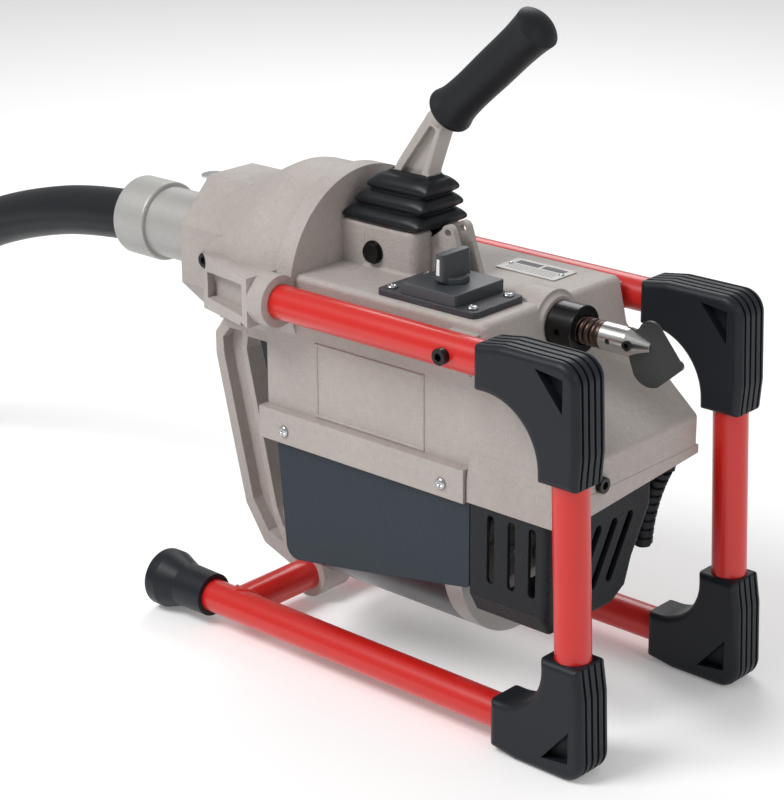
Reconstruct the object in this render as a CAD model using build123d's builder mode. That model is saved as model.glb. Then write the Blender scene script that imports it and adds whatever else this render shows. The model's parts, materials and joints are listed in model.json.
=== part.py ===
from build123d import *
import math
import os

os.makedirs("parts", exist_ok=True)

# Drain snake machine. X runs forward to the cutter, Y to the left, Z up. The origin is on the
# floor under the middle of the machine. All sizes are in millimetres.

# ---------------------------------------------------------------- driving dimensions
# Tubular frame
tube_diameter = 28.0
tube_wall = 2.0
side_spacing = 202.0
lower_tube_height = 25.0
upper_tube_height = 305.0
upper_leg_x = 263.0
lower_leg_x = 275.0
frame_bend_radius = 60.0
cross_tube_x = -82.0
lower_tube_end = -168.0

# Rubber bumpers and foot caps
bumper_wall = 4.5
bumper_front = 19.7
upper_bumper_top = 20.5
upper_bumper_leg = 75.0
lower_bumper_leg = 68.0
bumper_ramp = 25.0
bumper_edge_radius = 6.0
bumper_corner_radius = 18.0
pocket_depth = 9.0
upper_inner_radius = 50.0
lower_inner_radius = 38.0
groove_count = 4
groove_pitch = 7.2
groove_width = 2.6
groove_depth = 4.0
cap_rear_radius = lower_tube_height
cap_front_radius = 18.5
cap_length = 62.0
cap_overhang = 5.0

# Main housing casting
housing_half_width = 84.0
housing_wall = 5.0
deck_height = 323.0
deck_thickness = 4.0
housing_bottom = 196.0
housing_rear = -56.0
deck_front = 170.0
nose_face_x = 179.0
nose_face_height = 286.0
housing_front = 249.0
front_band_height = 226.0
seam_x = -40.0
flange_thickness = 17.0
flange_radius = 90.0
flange_bore = 50.0
ear_radius = 21.0
rail_half_width = 91.0
rail_bottom = 180.0
rail_top = 207.0
rail_rear = -60.0
rail_front = 157.0
rail_thickness = 3.7
bearing_boss_radius = 26.0
clamp_x = 157.0
clamp_length = 34.0

# Lever block on the deck
block_rear = -23.0
block_front = 55.0
block_half_width = 29.0
block_top = 358.0
block_wall = 5.0
pivot_x = 11.0
pivot_height = 336.0
pivot_pin_diameter = 12.0
lock_ear_x = 73.0
lock_ear_height = 359.0
lock_ear_spacing = 18.0

# Spindle, bearings and clutch
spindle_height = 305.0
spindle_diameter = 27.0
spindle_bore = 24.0
spindle_rear = -150.0
spindle_end = 196.0
bearing_outer = 42.0
bearing_width = 14.0
rear_bearing_x = -104.0
front_bearing_x = 148.0
head_radius = 18.5
head_start = -28.0
head_end = 24.0
jaw_count = 3
jaw_width = 12.0
jaw_start = -20.0
jaw_length = 20.0
jaw_gap = 1.3
jaw_travel = 1.2
jaw_outer = 22.5
jaw_side_gap = 0.2
cone_radius = 26.0
cone_start = -10.0
cone_length = 32.0
taper_length = 16.0
groove_bottom = 20.5
cone_groove_width = 8.0
fork_pad_height = 318.0
fork_pad_diameter = 6.4
lever_travel_degrees = 18.0
collar_outer = 38.0
collar_start = 175.5
collar_end = 199.0

# Belt drive
belt_rear = -78.0
belt_width = 20.0
belt_thickness = 4.0
spindle_pulley_radius = 72.0
motor_pulley_radius = 20.5
motor_height = 113.0
pulley_grooves = 4
groove_step = 4.5

# Rear housing
drum_radius = 86.0
drum_wall = 6.0
drum_rear = -84.0
neck_end = -185.0
neck_end_radius = 50.0
neck_radius = 65.0
lip_half_width = 76.0
lip_bottom = 256.0
notch_top = 284.0

# Hose adapter and guide hose
hose_diameter = 45.0
sleeve_diameter = 62.0
adapter_flange_diameter = 70.0
adapter_rear = -295.0
adapter_flange_length = 38.0
adapter_front = -152.0
hose_seat = -190.0
latch_x = -200.0
latch_stem_radius = 5.0
latch_pin_radius = 2.5
latch_hex = 14.0
latch_hex_height = 15.0
latch_head_radius = 11.0
latch_collar_radius = 4.0
latch_cap_thickness = 3.0
latch_lift = 6.0

# Motor
motor_can_radius = 73.0
motor_can_wall = 3.0
motor_can_rear = -35.0
motor_can_front = 122.0
bell_length = 18.0
stator_bore = 42.0
shaft_diameter = 15.0
motor_bearing_outer = 35.0
motor_bearing_width = 11.0
fan_radius = 52.0
fan_blades = 9

# Covers
cover_half_width = 87.0
cover_thickness = 3.0
front_cover_rear = 161.0
front_cover_front = 236.0
front_cover_wall = 3.0

# Cable and cutter
cable_diameter = 22.0
cable_pitch = 5.5
cable_rear = -188.0
coupling_start = 219.0
coupling_length = 42.0
blade_thickness = 2.5
cutter_screw_radius = 4.0

# Lever
lever_width = 17.0
lever_web = 6.0
fork_arm = 4.6
fork_clearance = 0.6
grip_collar_radius = 11.0
grip_stem_radius = 8.0
grip_length = 121.0
grip_start = (63.0, 451.0)
grip_angle = 41.7

# Boot
slot_half = 11.0
slot_rear = -8.0
slot_front = 56.5

# Switch and nameplate
plate_length = 98.0
plate_width = 60.0
plate_thickness = 5.0
plate_x = 107.5
plate_y = -49.0
bezel_length = 55.0
bezel_width = 58.0
bezel_thickness = 9.0
knob_x = 109.0
knob_y = -48.0
knob_diameter = 26.0
paddle_length = 34.0
paddle_thickness = 9.0
paddle_height = 23.0
nameplate_length = 59.0
nameplate_width = 30.0
nameplate_x = 112.0
nameplate_y = 50.0
nameplate_thickness = 1.0

# Cord gland
gland_x = 231.0
gland_y = 62.0
gland_stem_radius = 8.0
gland_bore = 4.6
gland_nut = 24.0
gland_nut_height = 13.0
gland_floor = 203.0
relief_radius = 9.0
relief_length = 70.0
relief_rings = 9
relief_bend_radius = 170.0

# Screws
frame_screw_radius = 3.3
frame_screw_head = 6.5
face_screw_y = -42.0
face_screw_z = 206.0
adapter_screw_x = -149.0
cover_screw_x = (-32.0, 135.0)
cover_screw_z = 191.0
cover_screw_radius = 2.5
plate_screw_radius = 2.0
plate_screw_inset = 9.0
rivet_radius = 1.1
motor_bolt_radius = 3.0

# Fits between pieces
running = 0.05
sliding = 0.5
loose = 1.0
touch_gap = 0.3

# ---------------------------------------------------------------- worked out from these
tube_radius = tube_diameter / 2
half_spacing = side_spacing / 2
pin_radius = pivot_pin_diameter / 2
spindle_radius = spindle_diameter / 2
bore_radius = spindle_bore / 2
cable_radius = cable_diameter / 2
flange_front = seam_x + flange_thickness
belt_front = belt_rear + belt_width
inner_half = housing_half_width - housing_wall
deck_inside = deck_height - deck_thickness
block_inside = block_half_width - block_wall
bell_rear_x = motor_can_rear - bell_length
neck_flat = (neck_radius + 1) * math.cos(math.pi / 8)
plate_screw_reach_x = plate_length / 2 - plate_screw_inset
plate_screw_reach_y = plate_width / 2 - plate_screw_inset
plate_screw_places = [
    (plate_x + x * plate_screw_reach_x, plate_y + y * plate_screw_reach_y)
    for x in (-1, 1)
    for y in (-1, 1)
]
rivet_places = [nameplate_x + x * (nameplate_length / 2 - 4) for x in (-1, 1)]
motor_bolt_places = [
    (start + bell_length / 2 + 1, y) for start in (bell_rear_x, motor_can_front) for y in (-32, 32)
]
# The fork's pads hang below the lever's pivot, so the lever's turn gives the cone's travel.
cone_travel = (pivot_height - fork_pad_height) * math.radians(lever_travel_degrees)
cone_slope = jaw_travel / cone_travel


def across(x, height=0.0, side=0.0):
    """The plane square to X at x, with its origin at the given side and height."""
    return Plane(origin=(x, side, height), x_dir=(0, 1, 0), z_dir=(1, 0, 0))


def upright(y):
    """The plane of X and Z at y, facing -Y, so that its sketch is a side view."""
    return Plane(origin=(0, y, 0), x_dir=(1, 0, 0), z_dir=(0, -1, 0))


def bar_along_x(start, end, height, radius, side=0.0, bore=0.0):
    """A round bar, or a sleeve when it has a bore radius, along X."""
    with BuildPart() as bar:
        with BuildSketch(across(start, height, side)):
            Circle(radius)
            if bore > 0:
                Circle(bore, mode=Mode.SUBTRACT)
        extrude(amount=end - start)
    return bar.part


def bar_along_y(start, end, x, height, radius, bore=0.0):
    """A round bar, or a sleeve when it has a bore radius, along Y."""
    with BuildPart() as bar:
        with BuildSketch(Plane(origin=(x, start, height), x_dir=(0, 0, 1), z_dir=(0, 1, 0))):
            Circle(radius)
            if bore > 0:
                Circle(bore, mode=Mode.SUBTRACT)
        extrude(amount=end - start)
    return bar.part


def slab(low, high):
    """A rectangular block between two opposite corners."""
    with BuildPart() as block:
        with BuildSketch(Plane(origin=(0, 0, low[2]))):
            with Locations(((low[0] + high[0]) / 2, (low[1] + high[1]) / 2)):
                Rectangle(high[0] - low[0], high[1] - low[1])
        extrude(amount=high[2] - low[2])
    return block.part


def side_view_plate(points, low_y, high_y):
    """A plate whose side view is the outline through points of x and z."""
    with BuildPart() as plate:
        with BuildSketch(upright(high_y)):
            Polygon(*points, align=None)
        extrude(amount=high_y - low_y)
    return plate.part


def turned(points, height):
    """A solid turned about the X axis at the given height, from points of x and radius."""
    with BuildPart() as solid:
        with BuildSketch(Plane.XZ):
            Polygon(*[(x, height + radius) for x, radius in points], align=None)
        revolve(axis=Axis((0, 0, height), (1, 0, 0)))
    return solid.part


# ---------------------------------------------------------------- frame
def side_tube(side):
    """One bent side of the frame: upper tube, front leg and lower tube in one piece."""
    with BuildPart() as tube:
        with BuildLine(upright(side)) as route:
            FilletPolyline(
                (seam_x + 1, upper_tube_height),
                (upper_leg_x, upper_tube_height),
                (lower_leg_x, lower_tube_height),
                (lower_tube_end, lower_tube_height),
                radius=frame_bend_radius,
            )
        with BuildSketch(across(seam_x + 1, upper_tube_height, side)):
            Circle(tube_radius)
            Circle(tube_radius - tube_wall, mode=Mode.SUBTRACT)
        sweep(path=route.wire())
        add(
            bar_along_y(-150, 150, clamp_x, upper_tube_height, frame_screw_radius),
            mode=Mode.SUBTRACT,
        )
    return tube.part


for name, side in (("right_side_tube", -half_spacing), ("left_side_tube", half_spacing)):
    with BuildPart() as side_frame:
        add(side_tube(side))
    side_frame.part.label = name
    export_step(side_frame.part, f"parts/{name}.step")

with BuildPart() as cross_tube:
    add(
        bar_along_y(
            -half_spacing, half_spacing, cross_tube_x, lower_tube_height,
            tube_radius, tube_radius - tube_wall,
        )
    )
    for side in (-half_spacing, half_spacing):
        add(
            bar_along_x(
                cross_tube_x - 40, cross_tube_x + 40, lower_tube_height, tube_radius, side
            ),
            mode=Mode.SUBTRACT,
        )
cross_tube.part.label = "cross_tube"
export_step(cross_tube.part, "parts/cross_tube.step")


def leg_at(height):
    """The x of the front leg's axis at a height, since the leg leans forward towards the floor."""
    share = (upper_tube_height - height) / (upper_tube_height - lower_tube_height)
    return upper_leg_x + share * (lower_leg_x - upper_leg_x)


def bumper(side, corner_height, down, face, leg_length, inner_radius):
    """A rubber elbow over one bend of the frame. down is -1 where the leg leaves downwards."""
    half = tube_radius + bumper_wall
    corner_x = leg_at(corner_height)
    rear = corner_x - leg_length
    far = corner_height + down * leg_length
    outer = corner_height - down * face
    inner = corner_height + down * half
    ramp_end = far - down * bumper_ramp
    with BuildPart() as elbow:
        with BuildSketch(upright(side + half)):
            with BuildLine():
                FilletPolyline(
                    (rear, inner), (rear, outer + down * 4), (rear + bumper_ramp, outer),
                    (leg_at(outer) + bumper_front, outer), (leg_at(ramp_end) + bumper_front, ramp_end),
                    (leg_at(far) + bumper_front - 3, far), (leg_at(far) - half, far),
                    (leg_at(inner) - half, inner),
                    close=True,
                    radius=[1.0, 2.0, 20.0, bumper_corner_radius, 20.0, 2.0, 1.0, inner_radius],
                )
            make_face()
        extrude(amount=2 * half)
        long_edges = elbow.edges().filter_by(
            lambda edge: abs(edge.center().Y - side) > half - 0.1
            and edge.center().X > rear + 1
            and abs(edge.center().Z - far) > 1
        )
        fillet(long_edges, radius=bumper_edge_radius)
        # Long grooves leave the ridges along the outer faces.
        for index in range(groove_count):
            shift = (index - (groove_count - 1) / 2) * groove_pitch
            floor_z = outer + down * groove_depth
            groove_x = bumper_front - groove_depth
            past_end = far + down * 2
            with BuildSketch(upright(side + shift + groove_width / 2)):
                with BuildLine():
                    FilletPolyline(
                        (rear - 2, outer - down * 8), (leg_at(outer) + bumper_front + 8, outer - down * 8),
                        (leg_at(past_end) + bumper_front + 8, past_end),
                        (leg_at(past_end) + groove_x, past_end),
                        (leg_at(floor_z) + groove_x, floor_z), (rear - 2, floor_z),
                        close=True,
                        radius=[1.0, 1.0, 1.0, 1.0, bumper_corner_radius - groove_depth, 1.0],
                    )
                make_face()
            extrude(amount=groove_width, mode=Mode.SUBTRACT)
        # A pocket near the outer corner on both flanks.
        for flank in (-1, 1):
            with BuildSketch(upright(side + (half if flank > 0 else -half + pocket_depth))):
                Polygon(
                    (corner_x - 17, corner_height - down * 12),
                    (corner_x + 8, corner_height - down * 9),
                    (corner_x + 8, corner_height + down * 17),
                    align=None,
                )
            extrude(amount=pocket_depth, mode=Mode.SUBTRACT)
        with BuildLine(upright(side)) as route:
            FilletPolyline(
                (rear - 30, corner_height), (corner_x, corner_height),
                (leg_at(far + down * 30), far + down * 30),
                radius=frame_bend_radius,
            )
        with BuildSketch(across(rear - 30, corner_height, side)):
            Circle(tube_radius)
        sweep(path=route.wire(), mode=Mode.SUBTRACT)
    return elbow.part


bumper_kinds = {
    "upper": (upper_tube_height, -1, upper_bumper_top, upper_bumper_leg, upper_inner_radius),
    "lower": (lower_tube_height, 1, lower_tube_height, lower_bumper_leg, lower_inner_radius),
}
for level, sizes in bumper_kinds.items():
    for hand, side in (("right", -half_spacing), ("left", half_spacing)):
        with BuildPart() as corner_bumper:
            add(bumper(side, *sizes))
        corner_bumper.part.label = f"{level}_{hand}_bumper"
        export_step(corner_bumper.part, f"parts/{level}_{hand}_bumper.step")

for name, side in (("right_foot_cap", -half_spacing), ("left_foot_cap", half_spacing)):
    cap_rear = lower_tube_end - cap_overhang
    with BuildPart() as foot_cap:
        with BuildSketch(Plane(origin=(0, side, 0), x_dir=(1, 0, 0), z_dir=(0, -1, 0))):
            with BuildLine():
                Polyline(
                    (cap_rear, lower_tube_height),
                    (cap_rear, lower_tube_height + cap_rear_radius - 4),
                )
                ThreePointArc(
                    (cap_rear, lower_tube_height + cap_rear_radius - 4),
                    (cap_rear + 1.2, lower_tube_height + cap_rear_radius - 1.2),
                    (cap_rear + 4, lower_tube_height + cap_rear_radius),
                )
                Polyline(
                    (cap_rear + 4, lower_tube_height + cap_rear_radius),
                    (cap_rear + 13, lower_tube_height + cap_rear_radius),
                    (cap_rear + 30, lower_tube_height + cap_front_radius + 0.5),
                    (cap_rear + cap_length, lower_tube_height + cap_front_radius),
                    (cap_rear + cap_length, lower_tube_height + tube_radius),
                    (lower_tube_end, lower_tube_height + tube_radius),
                    (lower_tube_end, lower_tube_height),
                    (cap_rear, lower_tube_height),
                )
            make_face()
        revolve(axis=Axis((0, side, lower_tube_height), (1, 0, 0)))
    foot_cap.part.label = name
    export_step(foot_cap.part, f"parts/{name}.step")

# ---------------------------------------------------------------- rear leg
leg_half = 14.0
sleeve_half = 17.0
leg_top = 238.0
leg_outer = [
    (-178, leg_top), (-190, 222), (-190, 202), (-158, 70), (-136, 38), (-106, 27),
    (cross_tube_x, 27), (cross_tube_x, 52), (-112, 58), (-120, 76), (-152, 214), (-148, leg_top),
]
with BuildPart() as rear_leg:
    with BuildSketch(upright(leg_half)):
        with BuildLine():
            FilletPolyline(*leg_outer, close=True, radius=[0.5] + 10 * [6.0] + [0.5])
        make_face()
    extrude(amount=2 * leg_half)
    # The casting is thinned from both flanks to a web between raised rims.
    for flank in (-1, 1):
        with BuildSketch(upright(leg_half if flank > 0 else -leg_half + 11.0)):
            with BuildLine():
                FilletPolyline(
                    (-172, 229), (-181, 219), (-180, 204), (-149, 76), (-131, 50),
                    (-110, 43), (-116, 50), (-125, 70), (-158, 212), (-157, 229),
                    close=True, radius=1.5,
                )
            make_face()
        extrude(amount=11.0, mode=Mode.SUBTRACT)
    add(
        bar_along_y(
            -sleeve_half, sleeve_half, cross_tube_x, lower_tube_height, tube_radius + 7.0
        )
    )
    add(
        bar_along_y(-60, 60, cross_tube_x, lower_tube_height, tube_radius),
        mode=Mode.SUBTRACT,
    )
rear_leg.part.label = "rear_leg"
export_step(rear_leg.part, "parts/rear_leg.step")

# ---------------------------------------------------------------- main housing
flank_outline = [
    (housing_rear, housing_bottom), (housing_rear, 278), (seam_x, 284), (seam_x, deck_height),
    (deck_front, deck_height), (nose_face_x, nose_face_height),
    (housing_front, front_band_height), (housing_front, housing_bottom),
]
cavity_outline = [
    (housing_rear + housing_wall, housing_bottom - 20), (housing_rear + housing_wall, 273),
    (seam_x + housing_wall, 279), (seam_x + housing_wall, deck_inside),
    (deck_front - housing_wall, deck_inside),
    (nose_face_x - housing_wall, nose_face_height - 2.5),
    (housing_front - housing_wall, front_band_height - 2.5),
    (housing_front - housing_wall, housing_bottom - 20),
]
with BuildPart() as main_housing:
    with BuildSketch(upright(housing_half_width)):
        Polygon(*flank_outline, align=None)
    extrude(amount=2 * housing_half_width)
    deck_edges = main_housing.edges().filter_by(
        lambda edge: abs(abs(edge.center().Y) - housing_half_width) < 0.1
        and edge.center().Z > 200
        and edge.center().X > seam_x + 1
    )
    fillet(deck_edges, radius=5.0)
    fillet(
        main_housing.edges().filter_by(Axis.Y).filter_by(
            lambda edge: edge.center().X > deck_front - 1 and edge.center().Z > housing_bottom + 1
        ),
        radius=6.0,
    )
    # Rear flange: a disc about the spindle with an ear for each upper tube.
    with BuildSketch(across(seam_x)) as flange_sketch:
        with Locations((0, spindle_height)):
            Circle(flange_radius)
        with Locations((-half_spacing, upper_tube_height), (half_spacing, upper_tube_height)):
            Circle(ear_radius)
        with Locations((0, upper_tube_height - 3)):
            Rectangle(side_spacing, 2 * ear_radius - 8)
        with Locations((0, (housing_bottom + upper_tube_height) / 2)):
            Rectangle(2 * housing_half_width, upper_tube_height - housing_bottom)
        necks = flange_sketch.vertices().filter_by(
            lambda vertex: vertex.Z > upper_tube_height + 5 and abs(vertex.Y) > 70
        )
        fillet(necks, radius=9.0)
    extrude(amount=flange_thickness)
    # Lever block.
    with BuildSketch(Plane.XY.offset(deck_inside)):
        with Locations(((block_rear + block_front) / 2, 0)):
            Rectangle(block_front - block_rear, 2 * block_half_width)
    extrude(amount=block_top - deck_inside)
    block_corners = main_housing.edges().filter_by(Axis.Z).filter_by(
        lambda edge: abs(edge.center().X - block_front) < 0.1 and edge.center().Z > deck_height
    )
    fillet(block_corners, radius=9.0)
    rim = main_housing.edges().filter_by(
        lambda edge: abs(edge.center().Z - block_top) < 0.1 and edge.center().X > block_rear + 0.5
    )
    fillet(rim, radius=3.0)
    foot = main_housing.edges().filter_by(
        lambda edge: abs(edge.center().Z - deck_height) < 0.1
        and abs(edge.center().Y) < block_half_width + 0.5
        and block_rear + 1 < edge.center().X < block_front + 1
    )
    fillet(foot, radius=3.0)
    # Side rails stand proud of the flanks and carry the side covers.
    for flank in (-1, 1):
        inner_y, outer_y = sorted((flank * (housing_half_width - 2), flank * rail_half_width))
        add(slab((rail_rear, inner_y, housing_bottom + 1), (rail_front, outer_y, rail_top)))
        inner_y, outer_y = sorted((flank * (rail_half_width - rail_thickness), flank * rail_half_width))
        add(slab((rail_rear, inner_y, rail_bottom), (rail_front, outer_y, rail_top)))
    # Boss for the front bearing, faired into the deck.
    add(
        turned(
            [
                (118, 0), (118, 17), (148, bearing_boss_radius), (168, bearing_boss_radius),
                (174.5, bearing_boss_radius - 5), (174.5, 0),
            ],
            spindle_height,
        )
    )
    # Pads beside the deck that the upper tubes are screwed to.
    for flank in (-1, 1):
        inner_y, outer_y = sorted((flank * (housing_half_width - 3), flank * (half_spacing - 6)))
        add(
            slab(
                (clamp_x - clamp_length / 2, inner_y, upper_tube_height - 20),
                (clamp_x + clamp_length / 2 - 8, outer_y, upper_tube_height + 10),
            )
        )
        add(
            bar_along_x(
                seam_x + 1, 240, upper_tube_height, tube_radius, flank * half_spacing
            ),
            mode=Mode.SUBTRACT,
        )
    # Ears for the lock pin in front of the lever block.
    for flank in (-1, 1):
        middle = flank * lock_ear_spacing / 2
        with BuildSketch(upright(middle + 2.5)):
            with Locations((lock_ear_x, lock_ear_height)):
                Circle(6.5)
            Polygon(
                (block_front - 4, deck_inside), (block_front - 4, block_top - 9),
                (lock_ear_x, lock_ear_height + 6.5), (lock_ear_x + 6, lock_ear_height + 2.5),
                (lock_ear_x + 20, deck_inside),
                align=None,
            )
            with Locations((lock_ear_x, lock_ear_height)):
                Circle(3.0, mode=Mode.SUBTRACT)
        extrude(amount=5.0)
    # The hollow inside.
    add(side_view_plate(cavity_outline, -inner_half, inner_half), mode=Mode.SUBTRACT)
    add(
        slab(
            (block_rear + block_wall, -block_half_width + block_wall, deck_inside - 30),
            (block_front - block_wall, block_half_width - block_wall, block_top - block_wall),
        ),
        mode=Mode.SUBTRACT,
    )
    add(bar_along_x(seam_x - 5, 0, spindle_height, flange_bore), mode=Mode.SUBTRACT)
    # Boss inside for the front bearing, and its bores.
    add(bar_along_x(146, 171, spindle_height, bearing_boss_radius))
    add(
        bar_along_x(140, front_bearing_x + bearing_width, spindle_height, bearing_outer / 2),
        mode=Mode.SUBTRACT,
    )
    add(
        bar_along_x(100, 180, spindle_height, spindle_radius + sliding),
        mode=Mode.SUBTRACT,
    )
    # Slot in the block's top for the lever.
    with BuildSketch(Plane.XY.offset(block_top - block_wall - 2)):
        with Locations(((slot_rear + slot_front) / 2, 0)):
            RectangleRounded(slot_front - slot_rear, 2 * slot_half, 5)
    extrude(amount=block_wall + 10, mode=Mode.SUBTRACT)
    # Bores for the lever's pin.
    add(
        bar_along_y(-60, 60, pivot_x, pivot_height, pin_radius),
        mode=Mode.SUBTRACT,
    )
    # Opening under the switch and floor pad for the cable gland.
    add(
        slab(
            (knob_x - 24, knob_y - 21, deck_inside - 5), (knob_x + 24, knob_y + 21, deck_height + 5)
        ),
        mode=Mode.SUBTRACT,
    )
    add(slab((212, 44, housing_bottom), (housing_front - 2, inner_half + 1, gland_floor)))
    with Locations((gland_x, gland_y, housing_bottom)):
        Cylinder(gland_stem_radius, 30, mode=Mode.SUBTRACT)
    # Ribs that the motor's end bells hang from.
    for start in (bell_rear_x, motor_can_front):
        low_x = max(start, housing_rear + housing_wall - 1)
        add(slab((low_x, -inner_half - 1, housing_bottom), (start + bell_length, inner_half + 1, 206)))
    # Screw holes: rails, tube pads, front face, deck and motor ribs.
    for low_y, high_y in ((-150, -60), (60, 150)):
        add(bar_along_y(low_y, high_y, clamp_x, upper_tube_height, frame_screw_radius), mode=Mode.SUBTRACT)
        for screw_x in cover_screw_x:
            add(bar_along_y(low_y, high_y, screw_x, cover_screw_z, cover_screw_radius), mode=Mode.SUBTRACT)
    add(
        bar_along_x(230, 260, face_screw_z, frame_screw_radius, face_screw_y),
        mode=Mode.SUBTRACT,
    )
    with Locations(*[(x, y, deck_height) for x, y in plate_screw_places]):
        Cylinder(plate_screw_radius, 30, mode=Mode.SUBTRACT)
    with Locations(*[(x, nameplate_y, deck_height) for x in rivet_places]):
        Cylinder(rivet_radius, 6, mode=Mode.SUBTRACT)
    with Locations(*[(x, y, housing_bottom) for x, y in motor_bolt_places]):
        Cylinder(motor_bolt_radius, 30, mode=Mode.SUBTRACT)
    add(
        bar_along_x(collar_start - touch_gap, 200, spindle_height, collar_outer / 2 + sliding),
        mode=Mode.SUBTRACT,
    )
main_housing.part.label = "main_housing"
export_step(main_housing.part, "parts/main_housing.step")

# ---------------------------------------------------------------- rear housing


def belt_loop(extra, start, length):
    """The solid inside a loop round both pulleys, standing off their rims by extra."""
    upper = spindle_pulley_radius + extra
    lower = motor_pulley_radius + extra
    lean = math.asin((upper - lower) / (spindle_height - motor_height))
    with BuildPart() as loop:
        with BuildSketch(across(start)):
            with Locations((0, spindle_height)):
                Circle(upper)
            with Locations((0, motor_height)):
                Circle(lower)
            Polygon(
                (upper * math.cos(lean), spindle_height + upper * math.sin(lean)),
                (-upper * math.cos(lean), spindle_height + upper * math.sin(lean)),
                (-lower * math.cos(lean), motor_height + lower * math.sin(lean)),
                (lower * math.cos(lean), motor_height + lower * math.sin(lean)),
                align=None,
            )
        extrude(amount=length)
    return loop.part


def wing(side):
    """The web that runs from the neck out to the ear on one side."""
    with BuildPart() as web:
        with BuildSketch(across(seam_x, 304.0, side * 95)):
            Rectangle(52, 41)
        with BuildSketch(across(-150.0, 288.0, side * 52)):
            Rectangle(24, 48)
        loft()
        with BuildSketch(across(seam_x - 12, 303.0, side * 113)):
            Rectangle(20, 26)
        with BuildSketch(across(-138.0, 288.0, side * 67)):
            Rectangle(12, 22)
        loft(mode=Mode.SUBTRACT)
    return web.part


with BuildPart() as rear_housing:
    with BuildSketch(Plane.XZ):
        with BuildLine():
            Polyline(
                (neck_end, spindle_height),
                (neck_end, spindle_height + neck_end_radius),
                (neck_end + 12, spindle_height + neck_end_radius + 7),
                (-132, spindle_height + neck_radius),
            )
            Spline(
                (-132, spindle_height + neck_radius),
                (-112, spindle_height + neck_radius + 8),
                (-92, spindle_height + drum_radius - 3),
                (drum_rear + 6, spindle_height + drum_radius),
                tangents=((1, 0.2), (1, 0)),
            )
            Polyline(
                (drum_rear + 6, spindle_height + drum_radius),
                (seam_x, spindle_height + drum_radius),
                (seam_x, spindle_height),
                (neck_end, spindle_height),
            )
        make_face()
    revolve(axis=Axis((0, 0, spindle_height), (1, 0, 0)))
    # Eight flats round the neck.
    with BuildSketch(across(neck_end + 6, spindle_height)):
        RegularPolygon(radius=neck_radius + 1, side_count=8, rotation=22.5)
    extrude(amount=50)
    for side in (-1, 1):
        add(wing(side))
    add(slab((drum_rear - 4, -lip_half_width, lip_bottom), (seam_x, lip_half_width, 300)))
    add(slab((-180, -leg_half - 4, leg_top), (-143, leg_half + 4, 280)))
    # Hollow for the large pulley and its belt.
    add(
        bar_along_x(drum_rear, seam_x + 1, spindle_height, drum_radius - drum_wall),
        mode=Mode.SUBTRACT,
    )
    add(
        belt_loop(belt_thickness + 4, drum_rear, seam_x - drum_rear + 1),
        mode=Mode.SUBTRACT,
    )
    # Open below the lip, and notched round the back of the main housing.
    add(slab((-128, -120, 200), (seam_x + 1, 120, lip_bottom)), mode=Mode.SUBTRACT)
    add(
        slab((housing_rear - touch_gap, -120, 200), (seam_x + 1, 120, notch_top)),
        mode=Mode.SUBTRACT,
    )
    # Bores: bearing, shaft and adapter socket.
    add(
        bar_along_x(rear_bearing_x, drum_rear + 1, spindle_height, bearing_outer / 2),
        mode=Mode.SUBTRACT,
    )
    add(
        bar_along_x(adapter_front - 1, drum_rear, spindle_height, spindle_radius + loose),
        mode=Mode.SUBTRACT,
    )
    add(
        bar_along_x(neck_end - 1, adapter_front, spindle_height, sleeve_diameter / 2),
        mode=Mode.SUBTRACT,
    )
    add(
        bar_along_y(-100, 0, adapter_screw_x, spindle_height, frame_screw_radius),
        mode=Mode.SUBTRACT,
    )
    add(
        bar_along_y(-100, -neck_flat, adapter_screw_x, spindle_height, frame_screw_head + sliding),
        mode=Mode.SUBTRACT,
    )
rear_housing.part.label = "rear_housing"
export_step(rear_housing.part, "parts/rear_housing.step")

# ---------------------------------------------------------------- hose adapter and latch
sleeve_radius = sleeve_diameter / 2
hose_radius = hose_diameter / 2
with BuildPart() as hose_adapter:
    add(bar_along_x(adapter_rear, adapter_front, spindle_height, sleeve_radius))
    add(
        bar_along_x(
            adapter_rear, adapter_rear + adapter_flange_length, spindle_height,
            adapter_flange_diameter / 2,
        )
    )
    rims = hose_adapter.edges().filter_by(GeomType.CIRCLE).filter_by(
        lambda edge: edge.radius > sleeve_radius + 1
    )
    fillet(rims, radius=2.5)
    add(
        bar_along_x(adapter_rear - 1, hose_seat, spindle_height, hose_radius + running),
        mode=Mode.SUBTRACT,
    )
    add(
        turned(
            [
                (adapter_rear - 1, 0), (adapter_rear - 1, hose_radius + 2),
                (adapter_rear + 30, hose_radius), (adapter_rear + 30, 0),
            ],
            spindle_height,
        ),
        mode=Mode.SUBTRACT,
    )
    add(
        bar_along_x(hose_seat - 1, adapter_front + 1, spindle_height, spindle_radius + loose),
        mode=Mode.SUBTRACT,
    )
    with Locations((latch_x, 0, spindle_height + sleeve_radius)):
        Cylinder(latch_stem_radius, sleeve_diameter / 2, mode=Mode.SUBTRACT)
hose_adapter.part.label = "hose_adapter"
export_step(hose_adapter.part, "parts/hose_adapter.step")

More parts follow.
